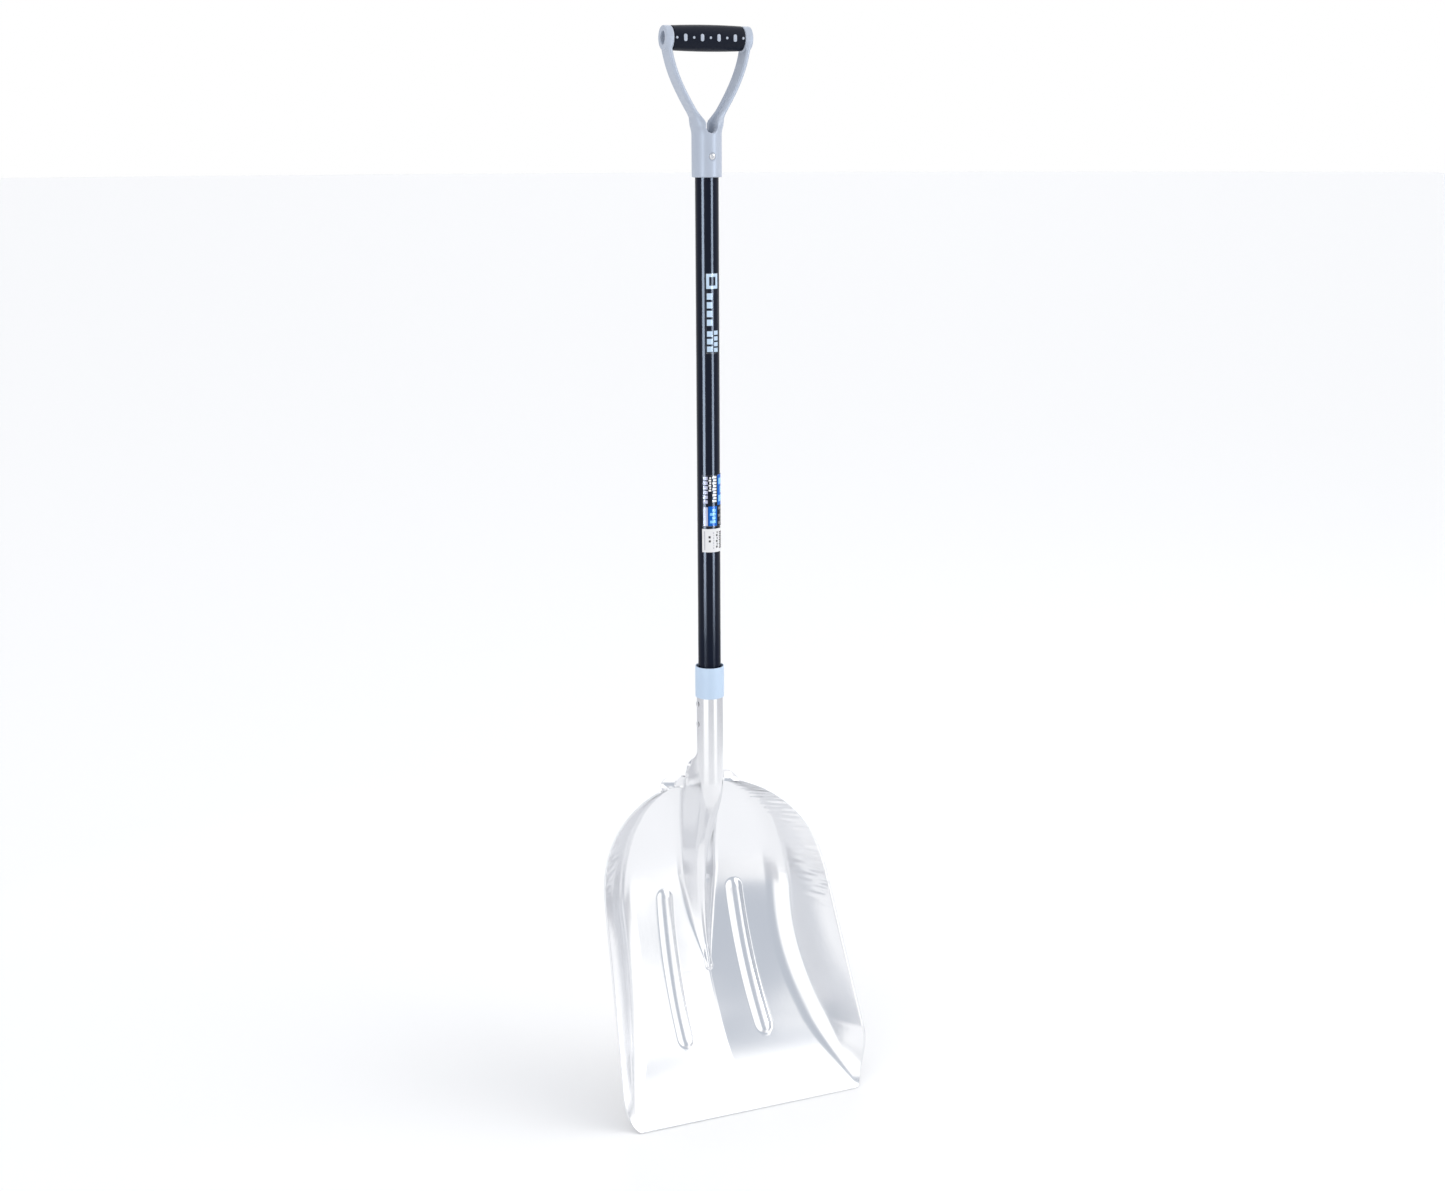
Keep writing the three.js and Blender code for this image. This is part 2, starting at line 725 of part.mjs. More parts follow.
// A pan-head screw, pointing up, with a cross recess.
function screw() {
  const shank = screwDiameter / 2;
  const head = screwHeadDiameter / 2;
  const seat = screwLength + touchGap;
  const body = toSolid(turned([
    [0, 0],
    [shank / 2, 0],
    [shank, screwPoint],
    [shank, seat],
    [head, seat],
    [head, seat + screwHeadHeight / 2],
    [head - screwHeadRound, seat + screwHeadHeight],
    [0, seat + screwHeadHeight],
  ], 20));
  const top = seat + screwHeadHeight;
  const bar = new THREE.BoxGeometry(crossLength, crossWidth, 2 * crossDepth).translate(0, 0, top);
  const crossed = toSolid(bar).add(toSolid(bar.clone().rotateZ(Math.PI / 2)));
  return toGeometry(body.subtract(crossed));
}

// ---------------------------------------------------------------- labels

// A thin sheet wrapped round the shaft. Angles are degrees from the front towards +X.
function wrapped(bottom, height, start, sweep) {
  const inner = shaftRadius + touchGap;
  const shape = new THREE.Shape();
  const from = degToRad(start) - Math.PI / 2;
  shape.absarc(0, 0, inner + labelThickness, from, from + degToRad(sweep), false);
  shape.absarc(0, 0, inner, from + degToRad(sweep), from, true);
  const geometry = new THREE.ExtrudeGeometry(shape, {
    depth: height,
    bevelEnabled: false,
    curveSegments: Math.round(sweep / 9),
  });
  return geometry.translate(0, 0, bottom);
}

// ---------------------------------------------------------------- assembly

const shovel = new THREE.Group();
shovel.name = 'snow_shovel';
shovel.add(named('scoop_blade', blade(), aluminium));
shovel.add(named('shaft_tube', shaft(), shaftPaint));
shovel.add(named('neck_collar', collar(), collarPlastic));
shovel.add(named('handle_yoke', yoke(), handlePlastic));
shovel.add(named('grip_sleeve', grip(), gripRubber));
shovel.add(named('film_label', wrapped(filmBottom, filmHeight, labelStart, filmSweep), filmPrint));
shovel.add(named('price_sticker', wrapped(stickerBottom, stickerHeight, labelStart, stickerSweep), paper));

['upper', 'lower'].forEach((place, i) => {
  const mesh = named(`neck_rivet_${place}`, rivet(), rivetMetal);
  mesh.rotation.y = -Math.PI / 2;
  mesh.position.z = rivetHeights[i];
  shovel.add(mesh);
});

const yokeScrew = named('yoke_screw', screw(), plating);
const screwSeat = socketDiameter / 2 - pocketDepth;
yokeScrew.rotation.x = Math.PI / 2;
yokeScrew.position.set(0, screwLength - screwSeat, yokeBottom + screwHeight);
shovel.add(yokeScrew);

shovel.position.z = -hangHeight;

export default shovel;
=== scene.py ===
"""Snow shovel: a pressed aluminium scoop on a black tube with a D-handle, dressed around its CAD frame.

Sizes are in millimetres and heights run up from a piece's own lower end, unless a comment says
otherwise. Blender's own objects are in metres, in the CAD frame: Z up the shaft, X across the
blade, and the scoop opening towards -Y.
"""

import logging
import math
from collections.abc import Callable
from dataclasses import dataclass, field
from enum import Enum
from itertools import pairwise

import bpy
import numpy as np
from mathutils import Matrix, Vector


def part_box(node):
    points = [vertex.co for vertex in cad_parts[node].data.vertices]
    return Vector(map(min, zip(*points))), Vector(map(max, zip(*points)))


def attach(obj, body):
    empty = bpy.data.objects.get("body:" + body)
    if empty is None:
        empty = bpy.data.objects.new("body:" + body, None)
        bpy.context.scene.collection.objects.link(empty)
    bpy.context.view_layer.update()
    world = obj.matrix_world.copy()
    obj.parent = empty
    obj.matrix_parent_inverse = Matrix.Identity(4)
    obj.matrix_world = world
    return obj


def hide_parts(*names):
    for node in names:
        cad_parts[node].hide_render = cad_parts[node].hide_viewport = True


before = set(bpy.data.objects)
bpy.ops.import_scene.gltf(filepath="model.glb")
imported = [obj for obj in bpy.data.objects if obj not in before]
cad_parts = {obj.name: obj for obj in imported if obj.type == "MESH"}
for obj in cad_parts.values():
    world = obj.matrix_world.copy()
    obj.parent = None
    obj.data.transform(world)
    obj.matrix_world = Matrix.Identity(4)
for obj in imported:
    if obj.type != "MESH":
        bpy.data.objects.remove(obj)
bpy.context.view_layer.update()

log = logging.getLogger("snow_shovel")

MM = 0.001
BODY = "root"
INK_LAYER = "ink"

Point = tuple[float, float]
Spot = tuple[float, float, float]
Colour = tuple[float, float, float, float]
Mesh = tuple[np.ndarray, list]
Socket = bpy.types.NodeSocket
Material = bpy.types.Material

TINY = 1e-6
SIDE_SHARE = 0.45  # the most of a side that a rounded corner may take


# ---- small maths


def lerp(start: float, end: float, share: float) -> float:
    """The value a share of the way from start to end."""
    return start + (end - start) * share


def clamp(value: float, low: float = 0.0, high: float = 1.0) -> float:
    """The value, kept between low and high."""
    return max(low, min(high, value))


def smoothstep(value: float, low: float, high: float) -> float:
    """0 below low, 1 above high, with a smooth rise between them."""
    share = clamp((value - low) / (high - low))
    return share * share * (3 - 2 * share)


def soft_min(a: np.ndarray | float, b: np.ndarray | float, soft: float) -> np.ndarray | float:
    """The lesser of two values, rounded off where they are within soft of each other."""
    share = np.clip(0.5 + (b - a) / (2 * soft), 0, 1)
    return b + (a - b) * share - soft * share * (1 - share)


def signed_angle(heading: float, line: Point) -> float:
    """The turn from a heading to the direction of a line, within half a turn."""
    turn = math.atan2(line[1], line[0]) - heading
    return math.atan2(math.sin(turn), math.cos(turn))


def arc_length(cut: float, turn: float) -> float:
    """Length of the arc that rounds a corner, cutting each of its sides back by cut."""
    half = max(abs(turn) / 2, TINY)
    return cut / math.tan(half) * 2 * half


def bezier(points: list[Point], steps: int) -> np.ndarray:
    """Points along a cubic Bezier curve.

    Args:
        points: The curve's four control points.
        steps: How many stretches to divide it into.

    Returns:
        An array of steps + 1 points.
    """
    t = np.linspace(0, 1, steps + 1)[:, None]
    p0, p1, p2, p3 = (np.array(p, float) for p in points)
    return (1 - t) ** 3 * p0 + 3 * (1 - t) ** 2 * t * p1 + 3 * (1 - t) * t**2 * p2 + t**3 * p3


# ---- mesh building


def mesh_piece(
    name: str,
    points: np.ndarray,
    faces: list | np.ndarray,
    level: float,
    sharp: float | None = None,
) -> bpy.types.Object:
    """A named mesh object in the CAD frame.

    Args:
        name: The piece's name.
        points: Its vertices in millimetres, with Z up from the piece's own level.
        faces: Vertex indices of each face.
        level: Height of that level in the CAD frame, in metres.
        sharp: Edges that turn by more than this many degrees stay sharp; None keeps all smooth.

    Returns:
        The new object, linked to the scene.
    """
    placed = np.asarray(points, float) * MM + (0.0, 0.0, level)
    mesh = bpy.data.meshes.new(name)
    mesh.from_pydata(placed.tolist(), [], [list(map(int, face)) for face in faces])
    mesh.validate()
    mesh.shade_smooth()
    if sharp is not None:
        mesh.set_sharp_from_angle(angle=math.radians(sharp))
    piece = bpy.data.objects.new(name, mesh)
    bpy.context.scene.collection.objects.link(piece)
    return piece


def finish_piece(
    piece: bpy.types.Object,
    material: Material,
    replaced: str | None = None,
) -> bpy.types.Object:
    """Dresses a piece, ties it to the CAD body and reports it.

    Args:
        piece: The object to dress.
        material: Its material.
        replaced: The CAD node that it stands for, if any.

    Returns:
        The same object.
    """
    piece.data.materials.append(material)
    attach(piece, BODY)
    if replaced:
        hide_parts(replaced)
    log.info("%s: %d faces, %s", piece.name, len(piece.data.polygons), material.name)
    return piece


def rounded(outline: list[Point], radius: float, closed: bool, steps: int = 5) -> list[Point]:
    """An outline with its corners turned into arcs.

    Args:
        outline: Corner points in order.
        radius: Arc radius, made smaller where a side is too short for it.
        closed: Whether the last point joins the first; if not, the end points stay.
        steps: Points along each arc.

    Returns:
        The new outline's points.
    """
    count = len(outline)
    result: list[Point] = []
    for i, corner in enumerate(outline):
        if not closed and i in (0, count - 1):
            result.append(corner)
            continue
        here = Vector(corner)
        before = Vector(outline[i - 1]) - here
        after = Vector(outline[(i + 1) % count]) - here
        cut = min(radius, SIDE_SHARE * before.length, SIDE_SHARE * after.length)
        start = here + before.normalized() * cut
        end = here + after.normalized() * cut
        for k in range(steps + 1):
            t = k / steps
            point = start * (1 - t) ** 2 + here * 2 * t * (1 - t) + end * t**2
            result.append((point.x, point.y))
    return result


def lathe(profile: list[Point], sides: int, closed: bool) -> Mesh:
    """A surface of revolution about Z.

    Args:
        profile: [radius, height] points, anticlockwise when radius runs to the right.
        sides: How many sides the round has.
        closed: Whether the profile closes on itself; if not, it starts and ends on the axis.

    Returns:
        Vertices and faces.
    """
    turn = np.linspace(0, 2 * math.pi, sides, endpoint=False)
    points: list[np.ndarray] = []
    rings: list[np.ndarray] = []
    for radius, height in profile:
        first = sum(len(p) for p in points)
        if radius < TINY:
            points.append(np.array([[0, 0, height]]))
            rings.append(np.full(sides, first))
            continue
        level = np.full(sides, height)
        points.append(np.stack([radius * np.cos(turn), radius * np.sin(turn), level], 1))
        rings.append(first + np.arange(sides))
    faces: list = []
    pairs = list(pairwise(rings)) + ([(rings[-1], rings[0])] if closed else [])
    for lower, upper in pairs:
        for a, b, c, d in zip(lower, np.roll(lower, -1), np.roll(upper, -1), upper):
            corners = list(dict.fromkeys((a, b, c, d)))
            if len(corners) > 2:
                faces.append(corners)
    return np.concatenate(points), faces


def along_x(points: np.ndarray) -> np.ndarray:
    """Points made about the Z axis, turned to run along X."""
    return points[:, [2, 1, 0]] * (1, -1, 1)


def sheet_faces(rows: int, columns: int) -> tuple[list, np.ndarray]:
    """The faces of a sheet's front and back, and the points round its border.

    Args:
        rows: Rows of points on each side; the back's points follow the front's.
        columns: Points in a row.

    Returns:
        The quads, the front's first, and the border's points in order on the front.
    """
    index = np.arange(rows * columns).reshape(rows, columns)
    a, b = index[:-1, :-1].ravel(), index[:-1, 1:].ravel()
    c, d = index[1:, 1:].ravel(), index[1:, :-1].ravel()
    faces = np.stack([a, b, c, d], 1).tolist()
    faces += (np.stack([a, d, c, b], 1) + rows * columns).tolist()
    return faces, np.concatenate([index[0], index[1:, -1], index[-1, -2::-1], index[-2:0:-1, 0]])


def border_faces(inner: np.ndarray, outer: np.ndarray) -> list:
    """The quads between two rings of points."""
    return np.stack([inner, outer, np.roll(outer, -1), np.roll(inner, -1)], 1).tolist()


# ---- moulded shapes

# A moulded shape is a field: the distance from each point of a grid to its skin, negative inside.


@dataclass
class Grid:
    """The points at which a moulded shape's field is worked out."""

    low: Spot
    high: Spot
    step: float
    x: np.ndarray = field(init=False)
    y: np.ndarray = field(init=False)
    z: np.ndarray = field(init=False)

    def __post_init__(self) -> None:
        """Sets out the grid's three axes."""
        axes = [np.arange(a, b + self.step, self.step) for a, b in zip(self.low, self.high)]
        self.x, self.y, self.z = np.meshgrid(*axes, indexing="ij", sparse=True)


def round_box(across: np.ndarray, along: np.ndarray, radius: float) -> np.ndarray:
    """Field of a solid bounded by two distances, with its edge rounded.

    Args:
        across: Distance past the first boundary, negative inside.
        along: Distance past the second one.
        radius: Radius of the rounded edge between them.

    Returns:
        The field.
    """
    a, b = across + radius, along + radius
    return np.minimum(np.maximum(a, b), 0) + np.hypot(np.maximum(a, 0), np.maximum(b, 0)) - radius


def cut(body: np.ndarray, tool: np.ndarray, soft: float) -> np.ndarray:
    """Field of a body with a tool cut out of it, its new edges softened."""
    return -soft_min(-body, tool, soft)


def line_distance(x: np.ndarray, z: np.ndarray, line: np.ndarray) -> np.ndarray:
    """Distance in the XZ plane from each point to the nearest stretch of a line of points."""
    best = np.full(np.broadcast(x, z).shape, np.inf)
    for (ax, az), (bx, bz) in pairwise(line):
        dx, dz = bx - ax, bz - az
        share = np.clip(((x - ax) * dx + (z - az) * dz) / (dx * dx + dz * dz), 0, 1)
        best = np.minimum(best, np.hypot(x - ax - share * dx, z - az - share * dz))
    return best


def sample(values: np.ndarray, spots: np.ndarray) -> np.ndarray:
    """A field's value at points given in grid steps, interpolated between its own points."""
    base = np.clip(spots.astype(int), 0, np.array(values.shape) - 2)
    part = spots - base
    total = np.zeros(len(spots))
    for corner in np.ndindex(2, 2, 2):
        weight = np.prod(np.where(corner, part, 1 - part), axis=1)
        total += weight * values[tuple((base + corner).T)]
    return total


def skin(values: np.ndarray, grid: Grid) -> tuple[np.ndarray, np.ndarray]:
    """The closed surface on which a field is zero, as a net of quads.

    Args:
        values: The field.
        grid: The grid that it was worked out on.

    Returns:
        Vertices in millimetres, and quads facing out.
    """
    inside = values < 0
    cells = tuple(n - 1 for n in values.shape)
    sums = np.zeros((*cells, 3))
    count = np.zeros(cells)
    corners = list(np.ndindex(2, 2, 2))
    for a in corners:
        for axis in range(3):
            if a[axis]:
                continue
            b = tuple(v + (k == axis) for k, v in enumerate(a))
            here = values[tuple(slice(v, v + n) for v, n in zip(a, cells))]
            there = values[tuple(slice(v, v + n) for v, n in zip(b, cells))]
            crossed = (here < 0) != (there < 0)
            share = here[crossed] / (here[crossed] - there[crossed])
            spot = np.tile(np.array(a, float), (len(share), 1))
            spot[:, axis] += share
            sums[crossed] += spot
            count += crossed
    active = count > 0
    index = np.full(cells, -1)
    index[active] = np.arange(active.sum())
    spots = np.argwhere(active) + sums[active] / count[active][:, None]
    for _ in range(2):
        value = sample(values, spots)
        pairs = [(sample(values, spots + e), sample(values, spots - e)) for e in np.eye(3)]
        slope = np.stack([above - below for above, below in pairs], 1)
        slope /= np.maximum(np.linalg.norm(slope, axis=1), TINY)[:, None]
        spots -= np.clip(value / grid.step, -0.5, 0.5)[:, None] * slope
    faces = []
    for axis in range(3):
        one, two = np.eye(3, dtype=int)[[(axis + 1) % 3, (axis + 2) % 3]]
        ahead = np.roll(inside, -1, axis)
        edges = np.argwhere(inside != ahead)
        room = (edges < cells).all(1) & (edges @ one > 0) & (edges @ two > 0)
        edges = edges[room]
        ring = [edges, edges - one, edges - one - two, edges - two]
        quads = np.stack([index[tuple(r.T)] for r in ring], 1)
        outward = inside[tuple(edges.T)]
        faces.append(np.where(outward[:, None], quads, quads[:, ::-1]))
    return spots * grid.step + np.array(grid.low), np.concatenate(faces)


# ---- node graphs


class Graph:
    """A node tree, with short ways to add nodes and join them."""

    def __init__(self, tree: bpy.types.NodeTree) -> None:
        """Keeps the tree and empties it."""
        self.tree = tree
        tree.nodes.clear()

    def add(self, kind: str, inputs: dict | None = None, **settings: object) -> bpy.types.Node:
        """Adds a node.

        Args:
            kind: The node's type.
            inputs: Its inputs by name or place; a socket is linked and anything else is set.
            **settings: Its other settings.

        Returns:
            The new node.
        """
        node = self.tree.nodes.new(kind)
        for key, value in settings.items():
            setattr(node, key, value)
        for key, value in (inputs or {}).items():
            if isinstance(value, Socket):
                self.tree.links.new(value, node.inputs[key])
            else:
                node.inputs[key].default_value = value
        return node

    def maths(self, operation: str, a: object, b: object = 0.0, clamped: bool = False) -> Socket:
        """The result of a Math node on one or two values."""
        node = self.add("ShaderNodeMath", {0: a, 1: b}, operation=operation, use_clamp=clamped)
        return node.outputs[0]

    def times(self, a: object, b: object, clamped: bool = False) -> Socket:
        """The product of two values."""
        return self.maths("MULTIPLY", a, b, clamped)

    def ramp(self, value: object, span: Point, to: Point = (0.0, 1.0)) -> Socket:
        """A value moved from one range to another, smoothly and clamped."""
        ends = {"From Min": span[0], "From Max": span[1], "To Min": to[0], "To Max": to[1]}
        inputs = {"Value": value, **ends}
        return self.add("ShaderNodeMapRange", inputs, interpolation_type="SMOOTHSTEP").outputs[0]

    def noise(self, place: object, scale: object, detail: float, distortion: float = 0.0) -> Socket:
        """Noise from 0 to 1 at a place."""
        inputs = {"Vector": place, "Scale": scale, "Detail": detail, "Distortion": distortion}
        return self.add("ShaderNodeTexNoise", inputs).outputs[0]

    def mix(self, share: object, a: object, b: object) -> Socket:
        """A colour a share of the way from a to b."""
        node = self.add("ShaderNodeMix", {0: share, 6: a, 7: b}, data_type="RGBA")
        return node.outputs[2]

    def give(self, value: Socket, out: bpy.types.Node, name: str | int = 0) -> None:
        """Joins a value to an input of the tree's last node."""
        self.tree.links.new(value, out.inputs[name])

    def group(self, tree: bpy.types.NodeTree, inputs: dict) -> bpy.types.Node:
        """Places a node group."""
        return self.add("ShaderNodeGroup", inputs, node_tree=tree)


VECTOR = ("Vector", "NodeSocketVector", None)


def number(name: str, default: float) -> tuple[str, str, float]:
    """A group's input for one number."""
    return name, "NodeSocketFloat", default


class Effects:
    """Surface effects that several finishes share, each a node group that is built once."""

    coarse_share: float = 0.12
    cloud_distortion: float = 0.4
    cloud_span: Point = (0.42, 0.7)
    scuff_lean: Spot = (0.4, 0.5, 0.0)
    scuff_stretch: Spot = (1.0, 1.0, 0.06)
    scuff_scale: float = 30.0
    scuff_span: Point = (0.66, 0.74)
    scuff_patches: Point = (0.5, 0.62)
    ridge_span: Point = (0.0, 0.06)
    wear_scale: float = 160.0
    wear_patches: Point = (0.35, 0.6)
    speck_scale: float = 900.0
    speck_span: Point = (0.56, 0.72)
    upward_span: Point = (0.1, 0.9)
    upward_dust: Point = (0.15, 1.0)

    def __init__(self) -> None:
        """Builds the groups."""
        self.grain = self._grain()
        self.marks = self._marks()
        self.wear = self._wear()
        self.dust = self._dust()

    @staticmethod
    def _new(name: str, inputs: list[tuple], outputs: list[str]) -> tuple[Graph, dict, object]:
        """Starts a group with its sockets.

        Args:
            name: The group's name.
            inputs: Name, socket type and default value of each input.
            outputs: Name of each value that it gives.

        Returns:
            The graph, the sockets of its input node by name, and its output node.
        """
        tree = bpy.data.node_groups.new(name, "ShaderNodeTree")
        graph = Graph(tree)
        for label, kind, default in inputs:
            socket = tree.interface.new_socket(label, in_out="INPUT", socket_type=kind)
            if default is not None:
                socket.default_value = default
        for label in outputs:
            tree.interface.new_socket(label, in_out="OUTPUT", socket_type="NodeSocketFloat")
        given = graph.add("NodeGroupInput").outputs
        return graph, {label: given[label] for label, _, _ in inputs}, graph.add("NodeGroupOutput")

    def _grain(self) -> bpy.types.NodeTree:
        """Fine grain, drawn out by Stretch, with a coarser swell under it."""
        stretch = ("Stretch", "NodeSocketVector", (1.0, 1.0, 1.0))
        inputs = [VECTOR, stretch, number("Scale", 500.0), number("Swell", 0.3)]
        graph, given, out = self._new("surface_grain", inputs, ["Height"])
        stretched = {0: given["Vector"], 1: given["Stretch"]}
        place = graph.add("ShaderNodeVectorMath", stretched, operation="MULTIPLY").outputs[0]
        fine = graph.noise(place, given["Scale"], 3.0)
        coarse = graph.noise(place, graph.times(given["Scale"], self.coarse_share), 2.0)
        graph.give(graph.maths("ADD", fine, graph.times(coarse, given["Swell"])), out, "Height")
        return graph.tree

    def _marks(self) -> bpy.types.NodeTree:
        """Cloudy handling marks and fine scuffs."""
        inputs = [VECTOR, number("Scale", 12.0), number("Amount", 0.5)]
        graph, given, out = self._new("handling_marks", inputs, ["Smudge", "Scuff"])
        cloud = graph.noise(given["Vector"], given["Scale"], 5.0, self.cloud_distortion)
        smudge = graph.times(graph.ramp(cloud, self.cloud_span), given["Amount"])
        leaning = {"Vector": given["Vector"], "Rotation": self.scuff_lean, "Scale": self.scuff_stretch}
        slanted = graph.add("ShaderNodeMapping", leaning).outputs[0]
        lines = graph.noise(slanted, graph.times(given["Scale"], self.scuff_scale), 2.0)
        patches = graph.ramp(cloud, self.scuff_patches)
        scuff = graph.times(graph.ramp(lines, self.scuff_span), patches)
        graph.give(smudge, out, "Smudge")
        graph.give(graph.times(scuff, given["Amount"]), out, "Scuff")
        return graph.tree

    def _wear(self) -> bpy.types.NodeTree:
        """Wear along raised edges, broken up by noise."""
        inputs = [VECTOR, number("Amount", 0.5), number("Start", 0.53)]
        graph, given, out = self._new("edge_wear", inputs, ["Mask"])
        edge = graph.add("ShaderNodeNewGeometry").outputs["Pointiness"]
        ridge = graph.ramp(graph.maths("SUBTRACT", edge, given["Start"]), self.ridge_span)
        patches = graph.ramp(graph.noise(given["Vector"], self.wear_scale, 4.0), self.wear_patches)
        broken = graph.times(ridge, patches)
        graph.give(graph.times(broken, given["Amount"], clamped=True), out, "Mask")
        return graph.tree

    def _dust(self) -> bpy.types.NodeTree:
        """A little dust on faces that look up."""
        inputs = [VECTOR, number("Amount", 0.2)]
        graph, given, out = self._new("settled_dust", inputs, ["Mask"])
        normal = graph.add("ShaderNodeNewGeometry").outputs["Normal"]
        up = graph.add("ShaderNodeSeparateXYZ", {0: normal}).outputs["Z"]
        specks = graph.ramp(graph.noise(given["Vector"], self.speck_scale, 3.0), self.speck_span)
        mask = graph.times(graph.ramp(up, self.upward_span, self.upward_dust), specks)
        graph.give(graph.times(mask, given["Amount"]), out, "Mask")
        return graph.tree


def new_material(name: str) -> tuple[Material, Graph]:
    """A new material and its empty node graph."""
    material = bpy.data.materials.new(name)
    material.use_nodes = True
    return material, Graph(material.node_tree)


# ---- finishes


BLACK: Colour = (0.0, 0.0, 0.0, 1.0)
DUST: Colour = (0.6, 0.59, 0.57, 1.0)
SCUFF_WEAR = 0.35
WEAR_ROUGHNESS = 0.15
SCREEN_SCALE = 2500.0
SCREEN_SHARE = 0.012


@dataclass(frozen=True)
class Finish:
    """What every finish has: a name, a colour, a roughness, and grain for its bump."""

    name: str
    colour: Colour
    roughness: float
    metallic: float = 0.0
    smudge_roughness: float = 0.08
    smudge_scale: float = 12.0
    smudge_amount: float = 0.6
    smudge_tint: float = 0.06
    grain_scale: float = 700.0
    grain_stretch: tuple[float, float, float] = (1.0, 1.0, 1.0)
    grain_depth: float = 0.00001
    grain_swell: float = 0.3
    wear_amount: float = 0.3
    wear_colour: Colour = (0.8, 0.8, 0.8, 1.0)
    dust_amount: float = 0.1
    specular: float = 0.5

    def base(self, graph: Graph, place: Socket) -> object:
        """The colour before wear and dust; a finish with a print gives its own."""
        return self.colour

    def build(self, effects: Effects) -> Material:
        """Makes the material.

        Args:
            effects: The shared node groups.

        Returns:
            The new material.
        """
        material, graph = new_material(self.name)
        place = graph.add("ShaderNodeTexCoord").outputs["Object"]
        marks = {"Scale": self.smudge_scale, "Amount": self.smudge_amount}
        marks = graph.group(effects.marks, {"Vector": place, **marks})
        wear = graph.group(effects.wear, {"Vector": place, "Amount": self.wear_amount})
        dust = graph.group(effects.dust, {"Vector": place, "Amount": self.dust_amount})
        grain = {"Stretch": self.grain_stretch, "Scale": self.grain_scale, "Swell": self.grain_swell}
        grain = graph.group(effects.grain, {"Vector": place, **grain})
        smudge = marks.outputs["Smudge"]
        scuffed = graph.times(marks.outputs["Scuff"], SCUFF_WEAR)
        worn = graph.maths("MAXIMUM", wear.outputs["Mask"], scuffed)
        colour = graph.mix(graph.times(smudge, self.smudge_tint), self.base(graph, place), BLACK)
        colour = graph.mix(worn, colour, self.wear_colour)
        colour = graph.mix(dust.outputs["Mask"], colour, DUST)
        rough = graph.maths("ADD", graph.times(smudge, self.smudge_roughness), self.roughness)
        rough = graph.maths("ADD", rough, graph.times(worn, WEAR_ROUGHNESS), clamped=True)
        relief = {"Height": grain.outputs["Height"], "Distance": self.grain_depth, "Strength": 1.0}
        shader = graph.add(
            "ShaderNodeBsdfPrincipled",
            {
                "Base Color": colour,
                "Roughness": rough,
                "Metallic": self.metallic,
                "Normal": graph.add("ShaderNodeBump", relief).outputs[0],
                "Specular IOR Level": self.specular,
            },
        )
        graph.give(shader.outputs[0], graph.add("ShaderNodeOutputMaterial"))
        return material


@dataclass(frozen=True)
class PrintedFinish(Finish):
    """A finish whose colour is printed, face by face, in an attribute of the mesh."""

    def base(self, graph: Graph, place: Socket) -> object:
        """The printed ink, with a faint screen in it."""
        ink = graph.add("ShaderNodeVertexColor", layer_name=INK_LAYER).outputs[0]
        screen = graph.noise(place, SCREEN_SCALE, 1.0)
        return graph.mix(graph.times(screen, SCREEN_SHARE), ink, (0.5, 0.5, 0.5, 1.0))


SHEET_ALUMINIUM = Finish(
    "sheet_aluminium",
    colour=(0.865, 0.87, 0.885, 1.0),
    roughness=0.17,
    metallic=1.0,
    smudge_roughness=0.1,
    smudge_scale=9.0,
    smudge_tint=0.05,
    grain_scale=260.0,
    grain_stretch=(1.0, 1.0, 0.03),
    grain_depth=0.00002,
    grain_swell=1.2,
    wear_amount=0.15,
    wear_colour=(0.9, 0.9, 0.9, 1.0),
    dust_amount=0.04,
)
SHAFT_PAINT = Finish(
    "shaft_paint",
    colour=(0.004, 0.007, 0.018, 1.0),
    roughness=0.13,
    smudge_tint=0.3,
    grain_scale=420.0,
    grain_depth=0.000003,
    wear_colour=(0.05, 0.05, 0.06, 1.0),
    dust_amount=0.01,
    specular=0.12,
)
HANDLE_PLASTIC = Finish(
    "handle_plastic",
    colour=(0.435, 0.485, 0.575, 1.0),
    roughness=0.34,
    grain_scale=1500.0,
    grain_depth=0.00003,
    wear_amount=0.2,
    wear_colour=(0.6, 0.64, 0.72, 1.0),
    dust_amount=0.08,
)
COLLAR_PLASTIC = Finish(
    "collar_plastic",
    colour=(0.52, 0.65, 0.81, 1.0),
    roughness=0.5,
    grain_scale=1200.0,
    grain_depth=0.00003,
    wear_amount=0.2,
    wear_colour=(0.7, 0.78, 0.88, 1.0),
    dust_amount=0.08,
)
GRIP_RUBBER = Finish(
    "grip_rubber",
    colour=(0.003, 0.006, 0.016, 1.0),
    roughness=0.4,
    smudge_tint=0.2,
    grain_scale=1100.0,
    grain_stretch=(0.25, 1.0, 1.0),
    grain_depth=0.00012,
    wear_amount=0.25,
    wear_colour=(0.04, 0.04, 0.05, 1.0),
    dust_amount=0.02,
    specular=0.17,
)
SCREW_PLATING = Finish(
    "screw_plating",
    colour=(0.74, 0.75, 0.77, 1.0),
    roughness=0.22,
    metallic=1.0,
    grain_scale=2600.0,
    wear_amount=0.3,
)
RIVET_METAL = Finish(
    "rivet_metal",
    colour=(0.7, 0.71, 0.73, 1.0),
    roughness=0.3,
    metallic=1.0,
    grain_scale=2200.0,
    wear_amount=0.3,
)
FILM_PRINT = PrintedFinish(
    "film_print",
    colour=(0.02, 0.02, 0.03, 1.0),
    roughness=0.14,
    grain_scale=420.0,
    grain_depth=0.000003,
    wear_amount=0.2,
    dust_amount=0.01,
    specular=0.12,
)
STICKER_PAPER = PrintedFinish(
    "sticker_paper",
    colour=(0.8, 0.8, 0.8, 1.0),
    roughness=0.62,
    grain_scale=1800.0,
    grain_depth=0.00002,
    wear_amount=0.2,
    dust_amount=0.05,
)


# ---- scoop


